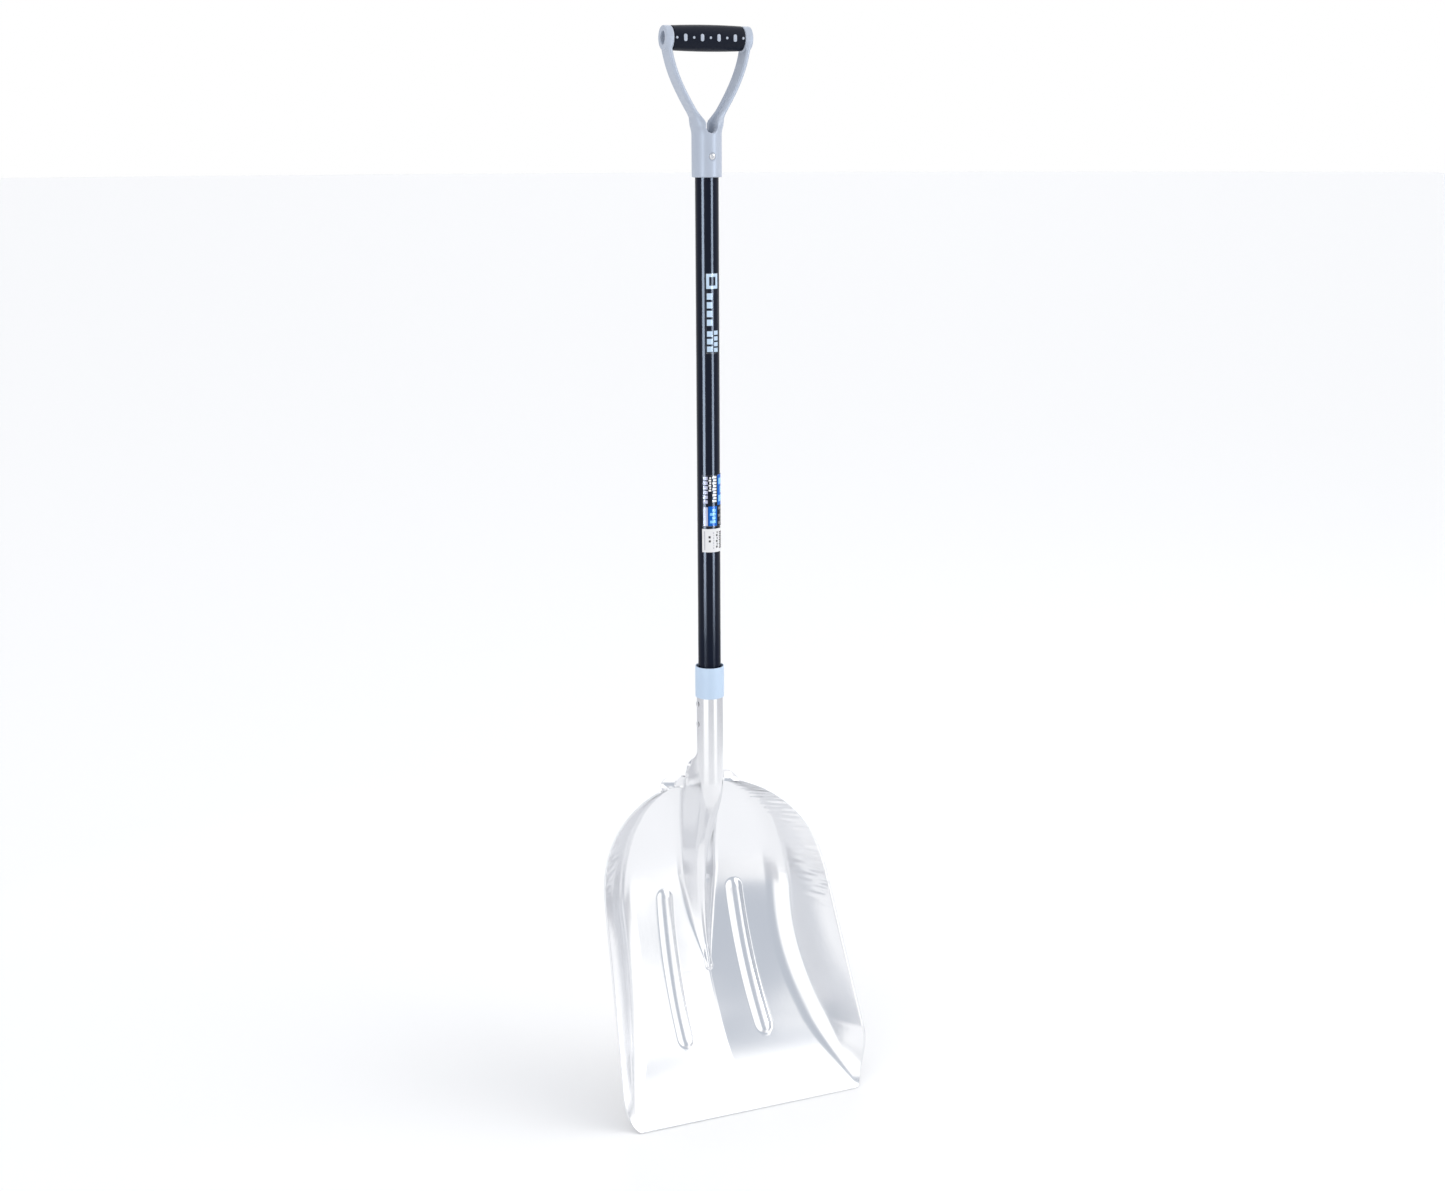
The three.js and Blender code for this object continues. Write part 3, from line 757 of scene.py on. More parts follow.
@dataclass
class Bend:
    """One stretch of the scoop's section: a length of sheet and the angle it turns through."""

    length: float
    turn: float


@dataclass
class Section:
    """The scoop's half section at one height, starting at the crest and heading to the side."""

    crest: float
    bends: list[Bend]

    @property
    def length(self) -> float:
        """Length of the sheet from the crest to its edge."""
        return sum(bend.length for bend in self.bends)

    def at(self, distance: float) -> Point:
        """The point that lies a given length of sheet from the crest."""
        x, y, heading, left = 0.0, self.crest, 0.0, distance
        for bend in self.bends:
            if bend.length <= 0:
                heading += bend.turn
                continue
            part = min(left, bend.length)
            turn = bend.turn * part / bend.length
            half = abs(turn) / 2
            chord = part * math.sin(half) / half if half > TINY else part
            x += chord * math.cos(heading + turn / 2)
            y += chord * math.sin(heading + turn / 2)
            heading += turn
            left -= part
        return x, y


@dataclass(frozen=True)
class Unevenness:
    """How the sheet stands off its true shape. Lengths run along the sheet, heights up the blade."""

    side_phase: float = 1.7
    pucker_depth: float = 0.8
    pucker_reach: float = 44.0
    pucker_lean: float = 0.12
    pucker_waves: Spot = (1.3, 1.9, 3.1)
    pucker_shares: Point = (0.8, 0.7)
    pucker_drift: float = 0.03
    pucker_start: Point = (190.0, 245.0)
    pucker_end: Point = (386.0, 401.0)
    gather_wave: float = 21.0
    gather_share: float = 0.45
    rim_fade: Point = (-4.0, 5.0)
    buckle_depth: float = 0.3
    buckle_start: Point = (10.0, 90.0)
    buckle_end: Point = (360.0, 402.0)
    buckle_from_rim: Point = (0.0, 25.0)
    broad_waves: Point = (34.0, 31.0)
    broad_phase: float = 0.8
    slant_waves: Point = (19.0, 23.0)
    slant_share: float = 0.5
    dents_left: float = 1.6
    dents_right: float = 0.3
    dents_fade: Point = (40.0, 90.0)
    lift: float = 0.5

    def pucker(self, side: float, z: float, from_edge: float, along_rim: float) -> float:
        """The gathers by the rim, where the rear was drawn in.

        Args:
            side: 1 on the right, -1 on the left, so that the two sides differ.
            z: Height above the cutting edge.
            from_edge: Distance along the sheet from the rim.
            along_rim: Distance along the rim from its lower end.

        Returns:
            The offset.
        """
        phase = self.side_phase * side
        lean = self.pucker_lean * from_edge
        fine, middling, coarse = self.pucker_waves
        waves = (
            math.sin((along_rim + lean) / fine + phase)
            + self.pucker_shares[0] * math.sin((along_rim - lean) / middling + 2 * phase)
            + self.pucker_shares[1] * math.sin(along_rim / coarse + self.pucker_drift * z)
        )
        zone = smoothstep(z, *self.pucker_start) * (1 - smoothstep(z, *self.pucker_end))
        swell = self.gather_share * math.sin(along_rim / self.gather_wave + phase)
        gather = 1 - self.gather_share + swell
        fade = math.exp(-((from_edge / self.pucker_reach) ** 2)) * smoothstep(from_edge, *self.rim_fade)
        return self.pucker_depth * zone * gather * fade * waves / 2

    def buckle(self, side: float, z: float, from_edge: float, across: float) -> float:
        """The faint buckles elsewhere.

        Args:
            side: 1 on the right, -1 on the left.
            z: Height above the cutting edge.
            from_edge: Distance along the sheet from the rim.
            across: Distance along the sheet from the middle.

        Returns:
            The offset.
        """
        phase = self.side_phase * side
        still = smoothstep(z, *self.buckle_start) * (1 - smoothstep(z, *self.buckle_end))
        still *= smoothstep(from_edge, *self.buckle_from_rim)
        up, over = self.broad_waves
        swing = math.sin(z / up + phase) * math.sin(across / over + self.broad_phase * phase)
        up, over = self.slant_waves
        swing += self.slant_share * math.sin(z / up - across / over)
        dents = self.dents_left if side < 0 else self.dents_right
        dents = 1 + dents * (1 - smoothstep(from_edge, *self.dents_fade))
        return self.buckle_depth * still * (dents * swing + self.lift)


@dataclass
class Scoop:
    """The pressed blade with its ribs, ridge, rolled neck and lips. Z is from the cutting edge."""

    level: float
    sheet: float = 2.0
    blade_length: float = 402.0
    blade_width: float = 353.0
    cutting_width: float = 313.0
    corner_height: float = 70.0
    side_taper: float = 0.07
    arch_height: float = 140.0
    arch_over: float = 8.0
    arch_fullness: float = 2.5
    floor_radius: float = 363.0
    floor_depth: float = 52.0
    floor_turn: float = 82.0
    floor_dish: float = 8.0
    rim_lean: float = 25.0
    shoulder_rise: float = 12.0
    wall_flare: float = 0.55
    rear_flare: float = 1.25
    wall_bend: float = 43.0
    wall_bend_share: float = 0.3
    nose_height: float = 80.0
    ridge_tip: float = 142.0
    ridge_rise: float = 0.145
    ridge_slope: float = 0.5
    ridge_blend: float = 10.0
    ridge_half_width: float = 26.0
    ridge_tip_radius: float = 3.5
    ridge_spread: float = 130.0
    tip_height: float = 2.0
    tip_width: float = 11.0
    tip_length: float = 30.0
    foot_bend: float = 12.0
    rib_width: float = 24.0
    rib_height: float = 5.0
    rib_bottom: float = 75.0
    rib_top: float = 244.0
    rib_bottom_offset: float = 57.7
    rib_top_offset: float = 51.9
    neck_radius: float = 17.4
    neck_length: float = 170.0
    neck_seam: float = 3.0
    neck_flare: float = 60.0
    ear_width: float = 7.0
    lip_height: float = 17.0
    lip_reach: float = 33.0
    lip_curl: float = 30.0
    uneven: Unevenness = field(default_factory=Unevenness)
    column_counts: tuple[int, ...] = (8, 6, 9, 40, 12, 14)
    rib_columns: tuple[int, int, int] = (7, 22, 13)
    rib_spread: float = 0.55
    edge_rows: float = 6.0
    tip_rows: Point = (4.0, 10.0)
    lip_rows: float = 2.4
    row_steps: tuple[float, ...] = (0.75, 3.0, 1.5, 3.0, 0.8, 2.5, 1.2, 1.1, 0.3, 1.6, 6.0)
    least_step: float = 0.3
    ridge_fullness: float = 0.8
    least_spread: float = 0.03
    flare_start: float = 0.6
    closing_start: float = 0.8
    foot_bend_growth: float = 4.0
    least_foot_bend: float = 0.2
    rib_fullness: float = 2.4
    rib_flank: float = 1.15
    tip_flank: float = 1.1

    def floor_at(self, z: float) -> float:
        """Side view of the floor's middle."""
        from_turn = z - (self.blade_length - self.floor_turn)
        return self.floor_depth - self.floor_radius + math.sqrt(self.floor_radius**2 - from_turn**2)

    def rim_at(self, z: float) -> float:
        """Side view of the rims, which drop into the cutting edge's corners."""
        shoulder = self.floor_at(self.blade_length) - self.shoulder_rise
        line = shoulder - math.tan(math.radians(self.rim_lean)) * (self.blade_length - z)
        rise = 1 - (1 - clamp(z / self.nose_height)) ** 2
        return lerp(self.floor_at(z), line, rise)

    def half_width_at(self, z: float) -> float:
        """Half the blade's width."""
        if z < self.corner_height:
            share = math.sqrt(1 - (1 - z / self.corner_height) ** 2)
            return lerp(self.cutting_width / 2, self.blade_width / 2, share)
        taper = self.blade_width / 2 - self.side_taper * (z - self.corner_height)
        climb = clamp((z - self.blade_length - self.arch_over + self.arch_height) / self.arch_height)
        return taper * math.sqrt(1 - climb**self.arch_fullness)

    def crest_at(self, z: float) -> float:
        """Side view of the ridge's crest, from its tip up to the neck's front."""
        level = min(z, self.blade_length)
        over_floor = self.floor_at(level) - self.ridge_rise * max(0.0, level - self.ridge_tip)
        slope = self.ridge_slope * (self.blade_length - z) - self.neck_radius
        front = -float(soft_min(-slope, self.neck_radius, self.ridge_blend))
        return float(soft_min(over_floor, front, self.ridge_blend))

    def turn_at(self, z: float) -> Point:
        """Where the floor turns up into the wall, as a sharp corner."""
        length, nose = self.blade_length, self.nose_height
        fade = clamp(z / nose) * (1 - smoothstep(z, length - nose, length))
        y = self.floor_at(z) - self.floor_dish * fade
        rear = smoothstep(z, self.flare_start * length, length)
        flare = lerp(self.wall_flare, self.rear_flare, rear)
        return self.half_width_at(z) - max(0.0, y - self.rim_at(z)) * flare, y

    def open_at(self, z: float) -> float:
        """How far the neck has opened out into the shoulder, from 0 to 1."""
        return clamp((self.blade_length + self.neck_flare - z) / self.neck_flare) ** 2

    def corners_at(self, z: float) -> tuple[Point, Point, Point]:
        """The half section's corners: the foot of the ridge, the turn into the wall, the edge."""
        length, opening = self.blade_length, self.open_at(z)
        spread = clamp((z - self.ridge_tip) / self.ridge_spread, self.least_spread)
        ridge_share = spread**self.ridge_fullness
        foot = (
            lerp(self.neck_radius, self.ridge_half_width * ridge_share, opening),
            lerp(self.neck_radius, self.floor_at(min(z, length + self.lip_height)), opening),
        )
        if z < self.nose_height:
            turned = self.turn_at(self.nose_height)[0]
            x = lerp(self.cutting_width / 2, turned, z / self.nose_height)
            return foot, (x, self.turn_at(z)[1]), (self.half_width_at(z), self.rim_at(z))
        if z <= length:
            return foot, self.turn_at(z), (self.half_width_at(z), self.rim_at(z))
        lip_share = clamp((z - length) / self.lip_height)
        lip_end = self.neck_radius + self.ear_width + self.lip_reach * math.sqrt(1 - lip_share**2)
        start = length + self.closing_start * self.lip_height
        closing = smoothstep(z, start, length + self.neck_flare)
        reach = max(lip_end - foot[0], closing * self.neck_radius)
        heading = math.pi * closing
        settle = (self.rim_at(length) - foot[1]) * (1 - lip_share) * (1 - closing)
        reached = max(0.0, lip_end - foot[0]) / self.lip_reach
        curl = self.lip_curl * lip_share * (1 - closing) * reached
        edge = (
            foot[0] + reach * math.cos(heading),
            foot[1] + reach * math.sin(heading) + settle + curl,
        )
        return foot, edge, edge

    def section_at(self, z: float) -> Section:
        """The half section at one height, as a chain of bends."""
        foot, turn, edge = self.corners_at(z)
        share = clamp((z - self.ridge_tip) / (self.blade_length - self.ridge_tip))
        cap = lerp(self.ridge_tip_radius, self.neck_radius, share)
        to_foot = (foot[0], foot[1] - self.crest_at(z) - cap)
        reach = math.hypot(*to_foot)
        foot_angle = math.atan2(to_foot[1], to_foot[0]) % (2 * math.pi)
        cap_angle = foot_angle + math.asin(min(1.0, cap / reach))
        cap_turn = cap_angle - 2 * math.pi if cap_angle > math.pi else cap_angle
        flank = math.sqrt(max(0.0, reach**2 - cap**2))
        floor_line = (turn[0] - foot[0], turn[1] - foot[1])
        wall_line = (edge[0] - turn[0], edge[1] - turn[1])
        floor_length, wall_length = math.hypot(*floor_line), math.hypot(*wall_line)
        foot_turn = signed_angle(cap_turn, floor_line)
        wall_turn = signed_angle(math.atan2(floor_line[1], floor_line[0]), wall_line)
        foot_bend = self.foot_bend * clamp(share * self.foot_bend_growth, self.least_foot_bend)
        foot_radius = lerp(self.neck_radius, foot_bend, self.open_at(z))
        wall_cut = min(
            self.wall_bend * math.tan(abs(wall_turn) / 2),
            self.wall_bend_share * wall_length,
            self.wall_bend_share * floor_length,
        )
        foot_cut = min(foot_radius * math.tan(abs(foot_turn) / 2), flank, floor_length - wall_cut)
        bends = [
            Bend(cap * cap_turn, cap_turn),
            Bend(flank - foot_cut, 0.0),
            Bend(arc_length(foot_cut, foot_turn), foot_turn),
            Bend(floor_length - foot_cut - wall_cut, 0.0),
            Bend(arc_length(wall_cut, wall_turn), wall_turn),
            Bend(wall_length - wall_cut, 0.0),
        ]
        return Section(self.crest_at(z), bends)

    def rib_offset_at(self, z: float) -> float:
        """Distance from the middle to a rib's centre line."""
        share = (z - self.rib_bottom) / (self.rib_top - self.rib_bottom)
        return lerp(self.rib_bottom_offset, self.rib_top_offset, share)

    def rib_rise(self, x: float, z: float) -> float:
        """How far a rib stands forward of the floor: steep flanks, a low round top, a small foot."""
        nearest = clamp(z, self.rib_bottom, self.rib_top)
        distance = math.hypot(abs(x) - self.rib_offset_at(nearest), z - nearest) / (self.rib_width / 2)
        if distance >= 1:
            return 0.0
        return self.rib_height * (1 - distance**self.rib_fullness) ** self.rib_flank

    def tip_rise(self, x: float, z: float) -> float:
        """How far the ridge's lower end stands forward: round below, and gone a little way up."""
        above = z - self.ridge_tip - self.tip_width / 2
        stretch = self.tip_length if above > 0 else self.tip_width / 2
        distance = math.hypot(x / (self.tip_width / 2), above / stretch)
        return self.tip_height * (1 - distance**2) ** self.tip_flank if distance < 1 else 0.0

    def columns_at(self, z: float, section: Section) -> list[float]:
        """How far along the half section each column of points lies, closer together over a rib."""
        length = self.blade_length
        closed = smoothstep(z, length + self.lip_height, length + self.neck_flare)
        seam = self.neck_seam / 2 * closed
        total = section.length - seam
        distances: list[float] = []
        start = 0.0
        for place, (bend, count) in enumerate(zip(section.bends, self.column_counts)):
            even = [start + bend.length * i / count for i in range(count)]
            if place == 3:
                middle = start + self.rib_offset_at(z) - section.at(start)[0]
                half = self.rib_spread * self.rib_width
                inner, over, outer = self.rib_columns
                before = np.linspace(start, middle - half, inner)[:-1]
                over = np.linspace(middle - half, middle + half, over)
                after = np.linspace(middle + half, start + bend.length, outer)[1:]
                drawn = np.concatenate([before, over, after])
                above = self.rib_top + self.rib_width
                away = smoothstep(z, above, above + 2 * self.rib_width)
                even = [lerp(float(a), b, away) for a, b in zip(drawn, even)]
            distances += even
            start += bend.length
        distances.append(total)
        last = len(distances) - 1
        for i in range(1, last):
            distances[i] = max(distances[i], distances[i - 1] + self.least_step)
        for i in range(last - 1, 0, -1):
            distances[i] = min(distances[i], distances[i + 1] - self.least_step)
        share = smoothstep(z, length - self.lip_height, length + self.lip_height)
        return [lerp(value, total * i / last, share) for i, value in enumerate(distances)]

    def levels(self) -> list[float]:
        """Heights of the rows, closer together where the shape changes fast."""
        length, half_rib = self.blade_length, self.rib_width / 2
        shoulder = length + self.lip_height
        stops = [
            0.0,
            self.edge_rows,
            self.rib_bottom - half_rib,
            self.rib_bottom + half_rib,
            self.ridge_tip - self.tip_rows[0],
            self.ridge_tip + self.tip_rows[1],
            self.rib_top - half_rib,
            length - self.arch_height / 2,
            shoulder - self.lip_rows,
            shoulder,
            length + self.neck_flare,
            length + self.neck_length,
        ]
        rows: list[float] = []
        for (low, high), step in zip(pairwise(stops), self.row_steps):
            count = max(1, round((high - low) / step))
            rows += [low + (high - low) * i / count for i in range(count)]
        return rows + stops[-1:]

    def front_grid(self) -> np.ndarray:
        """Rows of points over the sheet's front, from the left edge to the right."""
        heights = self.levels()
        rims = np.array([(self.half_width_at(min(z, self.blade_length)), z) for z in heights])
        run = np.concatenate([[0], np.cumsum(np.linalg.norm(np.diff(rims, axis=0), axis=1))])
        rows = []
        for z, along_rim in zip(heights, run):
            section = self.section_at(z)
            distances = self.columns_at(z, section)
            places = [section.at(distance) for distance in distances]
            if z <= self.blade_length:
                edge = self.corners_at(z)[2]
                miss = (edge[0] - places[-1][0], edge[1] - places[-1][1])
                shares = [distance / distances[-1] for distance in distances]
                places = [(x + miss[0] * s, y + miss[1] * s) for (x, y), s in zip(places, shares)]
            row = []
            for side in (-1, 1):
                half = []
                for distance, (x, y) in zip(distances, places):
                    from_edge = distances[-1] - distance
                    off = self.uneven.pucker(side, z, from_edge, along_rim)
                    off += self.uneven.buckle(side, z, from_edge, distance)
                    rise = self.rib_rise(x, z) + self.tip_rise(x, z)
                    half.append((side * x, y - rise - off, z))
                row += half[:0:-1] if side < 0 else half
            rows.append(row)
        return np.array(rows)

    def thicken(self, grid: np.ndarray) -> Mesh:
        """Gives the sheet its thickness, with round edges.

        Args:
            grid: Rows of points over the front.

        Returns:
            Vertices and faces of the closed sheet.
        """
        rows, columns = grid.shape[:2]
        across = np.gradient(grid, axis=1)
        along = np.gradient(grid, axis=0)
        backward = np.cross(along, across)
        backward /= np.linalg.norm(backward, axis=2)[:, :, None]
        outward = np.zeros_like(grid)
        for end, sign in ((0, -1), (-1, 1)):
            outward[:, end] += sign * across[:, end] / np.linalg.norm(across[:, end], axis=1)[:, None]
        for end, sign in ((0, -1), (-1, 1)):
            outward[end] += sign * along[end] / np.linalg.norm(along[end], axis=1)[:, None]
        size = np.linalg.norm(outward, axis=2)
        outward[size > 0] /= size[size > 0][:, None]
        front = grid - outward * self.sheet / 2
        back = front + backward * self.sheet
        faces, border = sheet_faces(rows, columns)
        flat_front, flat_back = front.reshape(-1, 3), back.reshape(-1, 3)
        middle = (flat_front[border] + flat_back[border]) / 2
        out = outward.reshape(-1, 3)[border]
        through = backward.reshape(-1, 3)[border]
        rings = [border]
        points = [flat_front, flat_back]
        count = 2 * rows * columns
        for turn in (-45, 0, 45):
            angle = math.radians(turn)
            offset = out * math.cos(angle) + through * math.sin(angle)
            points.append(middle + self.sheet / 2 * offset)
            rings.append(count + np.arange(len(border)))
            count += len(border)
        rings.append(border + rows * columns)
        for inner, outer in pairwise(rings):
            faces += border_faces(inner, outer)
        return np.concatenate(points), faces

    def build(self, material: Material) -> None:
        """Makes the scoop and dresses it."""
        points, faces = self.thicken(self.front_grid())
        piece = mesh_piece("scoop_blade_skin", points, faces, self.level, sharp=60)
        finish_piece(piece, material, "scoop_blade")


# ---- shaft, collar, fasteners


@dataclass
class Shaft:
    """The painted steel tube."""

    level: float
    length: float
    diameter: float = 30.0
    wall: float = 1.2
    sides: int = 160

    def build(self, material: Material) -> None:
        """Makes the tube with eased ends and dresses it."""
        outer = self.diameter / 2
        inner = outer - self.wall
        spaced = np.linspace(0, self.length, 41)
        outline = [(inner, 0.0), *[(outer, float(z)) for z in spaced], (inner, self.length)]
        points, faces = lathe(rounded(outline, 0.4, closed=True, steps=2), self.sides, closed=True)
        piece = mesh_piece("shaft_tube_skin", points, faces, self.level, sharp=40)
        finish_piece(piece, material, "shaft_tube")


@dataclass
class Collar:
    """The soft plastic collar over the neck's upper end."""

    level: float
    height: float
    inner_radius: float = 17.7
    wall: float = 1.5
    turned_in: float = 0.9
    sag: float = 0.12
    sides: int = 128

    def build(self, material: Material) -> None:
        """Makes the collar, a little fuller at its middle, and dresses it."""
        outer = self.inner_radius + self.wall
        outline = [
            (self.inner_radius, 0.0),
            (outer - self.sag, 0.0),
            (outer, 0.3 * self.height),
            (outer, 0.7 * self.height),
            (outer - self.sag, self.height),
            (self.inner_radius, self.height),
        ]
        outline = rounded(outline, self.turned_in, closed=True)
        points, faces = lathe(outline, self.sides, closed=True)
        piece = mesh_piece("neck_collar_skin", points, faces, self.level)
        finish_piece(piece, material, "neck_collar")


@dataclass
class Rivet:
    """A blind rivet through the neck and the shaft, from the left."""

    name: str
    level: float
    head_diameter: float = 7.0
    head_height: float = 1.4
    shank_diameter: float = 4.0
    tail_diameter: float = 6.0
    tail_length: float = 3.0
    inside: float = 13.5
    outside: float = 17.7
    rim: float = 0.25
    dome_sweep: float = 72.0
    mandrel: float = 1.1

    def build(self, material: Material) -> None:
        """Makes the rivet with its domed head and broken mandrel, and dresses it."""
        head, shank, tail = self.head_diameter / 2, self.shank_diameter / 2, self.tail_diameter / 2
        top = self.outside + self.head_height
        dome = [
            (head * math.cos(a), self.outside + self.rim + (self.head_height - self.rim) * math.sin(a))
            for a in np.linspace(0, math.radians(self.dome_sweep), 8)
        ]
        outline = [
            (0.0, self.inside - self.tail_length),
            (0.6 * tail, self.inside - self.tail_length),
            (tail, self.inside - self.tail_length / 2),
            (shank, self.inside),
            (shank, self.outside),
            (head, self.outside),
            *dome,
            (self.mandrel, top - 0.1),
            (self.mandrel - 0.15, top - 0.5),
            (0.0, top - 0.42),
        ]
        points, faces = lathe(outline, 40, closed=False)
        leftward = along_x(points) * (-1, -1, 1)
        piece = mesh_piece(f"{self.name}_skin", leftward, faces, self.level, sharp=35)
        finish_piece(piece, material, self.name)


@dataclass
class Screw:
    """The pan-head screw that holds the yoke on the shaft. Its head faces -Y."""

    level: float
    seat: float
    diameter: float = 4.0
    length: float = 11.0
    head_diameter: float = 7.6
    head_height: float = 2.2
    dome_radius: float = 6.4
    cross_width: float = 1.1
    cross_length: float = 4.6
    cross_depth: float = 1.3
    step: float = 0.16

    def build(self, material: Material) -> None:
        """Moulds the screw with its cross recess and dresses it."""
        reach = self.head_diameter / 2 + 3 * self.step
        front, deep = -self.seat - self.head_height, -self.seat + self.length + 0.6
        grid = Grid((-reach, front - 3 * self.step, -reach), (reach, deep, reach), self.step)
        radial = np.hypot(grid.x, grid.z)
        from_front = grid.y - front
        half, middle = self.head_height / 2, self.length / 2
        head = round_box(radial - self.head_diameter / 2, np.abs(grid.y - front - half) - half, 0.5)
        dome = np.sqrt(radial**2 + (from_front - self.dome_radius) ** 2) - self.dome_radius
        head = np.maximum(head, dome)
        inward = np.abs(grid.y + self.seat - middle) - middle
        shank = round_box(radial - self.diameter / 2, inward, 0.4)
        body = soft_min(head, shank, 0.3)
        for a, b in ((grid.x, grid.z), (grid.z, grid.x)):
            taper = self.cross_width / 2 - 0.15 * from_front
            ends = np.abs(a) - self.cross_length / 2 + 0.6 * from_front
            bar = np.maximum(ends, np.abs(b) - taper)
            body = cut(body, np.maximum(bar, from_front - self.cross_depth), 0.15)
        points, faces = skin(body, grid)
        piece = mesh_piece("yoke_screw_skin", points, faces, self.level)
        finish_piece(piece, material, "yoke_screw")


# ---- handle


@dataclass
class Yoke:
    """The moulded handle: a socket that forks into two arms with a bar between them."""

    level: float
    socket_diameter: float = 38.0
    socket_depth: float = 44.0
    bore_diameter: float = 30.6
    crotch_height: float = 54.0
    fork_radius: float = 7.5
    grip_height: float = 168.0
    width: float = 116.0
    arm_thickness: float = 6.0
    arm_depth: float = 26.0
    arm_foot: float = 11.5
    arm_foot_rise: float = 5.5
    arm_round: float = 2.6
    boss_diameter: float = 30.0
    boss_length: float = 10.7
    recess_diameter: float = 16.0
    recess_depth: float = 45.0
    core_diameter: float = 23.4
    channel_diameter: float = 23.0
    groove_radius: float = 7.0
    groove_top: float = 110.0
    face_clearance: float = 0.7
    pocket_diameter: float = 9.0
    pocket_depth: float = 1.2
    screw_height: float = 25.5
    screw_hole: float = 4.6
    shoulder_steps: tuple[Point, ...] = ((2.0, 0.0), (7.0, 1.5), (12.0, 5.0))
    shoulder_height: float = 11.0
    channel_height: float = 31.0
    throat_height: float = 6.0
    slot_height: float = 60.0
    socket_round: float = 1.2
    boss_round: float = 1.6
    arm_blend: float = 14.0
    boss_blend: float = 3.0
    throat_slope: float = 0.8
    groove_flatness: float = 1.5
    mouth_round: float = 1.4
    edge_round: float = 1.0
    recess_round: float = 0.8
    bore_round: float = 0.5
    hole_round: float = 0.2
    bore_gap: float = 0.3
    step: float = 0.75

    def arm_line(self) -> np.ndarray:
        """Points up the right arm's centre line."""
        sx, sz = self.arm_foot, self.crotch_height + self.fork_radius + self.arm_foot_rise
        ex, ez = self.width / 2 - self.boss_length / 2 + 1, self.grip_height
        controls = [
            (sx, sz),
            (lerp(sx, ex, 0.45), lerp(sz, ez, 0.3)),
            (ex - 0.07 * (ex - sx), lerp(sz, ez, 0.6)),
            (ex, ez),
        ]
        return bezier(controls, 28)

    def inner_line(self) -> np.ndarray:
        """Points up the right arm's inner face."""
        line = self.arm_line()
        heading = np.gradient(line, axis=0)
        heading /= np.linalg.norm(heading, axis=1)[:, None]
        return line + self.arm_thickness / 2 * np.stack([-heading[:, 1], heading[:, 0]], 1)

    def moulded(self, grid: Grid) -> np.ndarray:
        """The handle's field."""
        x, y, z = np.abs(grid.x), grid.y, grid.z
        shoulder = self.crotch_height + self.fork_radius
        fork = self.forked(x, y, z, shoulder)
        bar = np.hypot(y, z - self.grip_height)
        boss_middle = self.width / 2 - self.boss_length / 2
        boss_ends = np.abs(x - boss_middle) - self.boss_length / 2
        boss = round_box(bar - self.boss_diameter / 2, boss_ends, self.boss_round)
        body = soft_min(fork, boss, self.boss_blend)
        core = np.maximum(bar - self.core_diameter / 2, x - boss_middle)
        body = np.minimum(body, core)
        recess_end = self.width / 2 - self.recess_depth
        recess = np.maximum(bar - self.recess_diameter / 2, recess_end - x)
        body = cut(body, recess, self.recess_round)
        radial = np.hypot(x, y)
        bore = np.maximum(radial - self.bore_diameter / 2, z - self.socket_depth - self.bore_gap)
        body = cut(body, bore, self.bore_round)
        half = (shoulder + self.channel_height) / 2
        channel = np.maximum(radial - self.channel_diameter / 2, np.abs(z - half) - half)
        body = cut(body, channel, self.recess_round)
        from_screw = np.hypot(grid.x, z - self.screw_height)
        sunk = y + self.socket_diameter / 2 - self.pocket_depth
        seat = np.maximum(from_screw - self.pocket_diameter / 2, sunk)
        hole = np.maximum(from_screw - self.screw_hole / 2, y)
        return cut(cut(body, seat, self.bore_round), hole, self.hole_round)

    def forked(self, x: np.ndarray, y: np.ndarray, z: np.ndarray, shoulder: float) -> np.ndarray:
        """Field of the socket and the arms.

        Args:
            x: Distance from the middle plane.
            y: Distance towards the back.
            z: Height above the socket's mouth.
            shoulder: Height at which the fork opens.

        Returns:
            The field.
        """
        outer = self.socket_diameter / 2
        stops = [0, *(shoulder + up for up, _ in self.shoulder_steps)]
        girth = np.interp(z, stops, [outer, *(outer - inset for _, inset in self.shoulder_steps)])
        half = (shoulder + self.shoulder_height) / 2
        body = round_box(np.hypot(x, y) - girth, np.abs(z - half) - half, self.socket_round)
        from_line = line_distance(x, z, self.arm_line()) - self.arm_thickness / 2
        arm = round_box(from_line, np.abs(y) - self.arm_depth / 2, self.arm_round)
        body = soft_min(body, arm, self.arm_blend)
        face = self.inner_line()
        inward = x - np.interp(z, face[:, 1], face[:, 0]) + self.face_clearance
        between = np.maximum(self.throat_slope * inward, shoulder + self.throat_height - z)
        body = cut(body, between, self.edge_round)
        middle = np.array([(0, shoulder), (0, shoulder + self.slot_height)])
        body = cut(body, line_distance(x, z, middle) - self.fork_radius, self.mouth_round)
        from_groove = np.hypot(self.groove_flatness * line_distance(x, z, face), y)
        below = np.clip((self.groove_top - z) / (self.groove_top - shoulder), 0, 1)
        return cut(body, from_groove - self.groove_radius * below, self.edge_round)

    def build(self, material: Material) -> None:
        """Moulds the yoke and dresses it."""
        margin = 3 * self.step
        half_x, half_y = self.width / 2 + margin, self.socket_diameter / 2 + margin
        top = self.grip_height + self.boss_diameter / 2 + margin
        grid = Grid((-half_x, -half_y, -margin), (half_x, half_y, top), self.step)
        points, faces = skin(self.moulded(grid), grid)
        piece = mesh_piece("handle_yoke_skin", points, faces, self.level)
        finish_piece(piece, material, "handle_yoke")


@dataclass
class Mark:
    """A round or long window through the grip, where the core's pale pad shows."""

    x: float
    half_width: float
    half_height: float


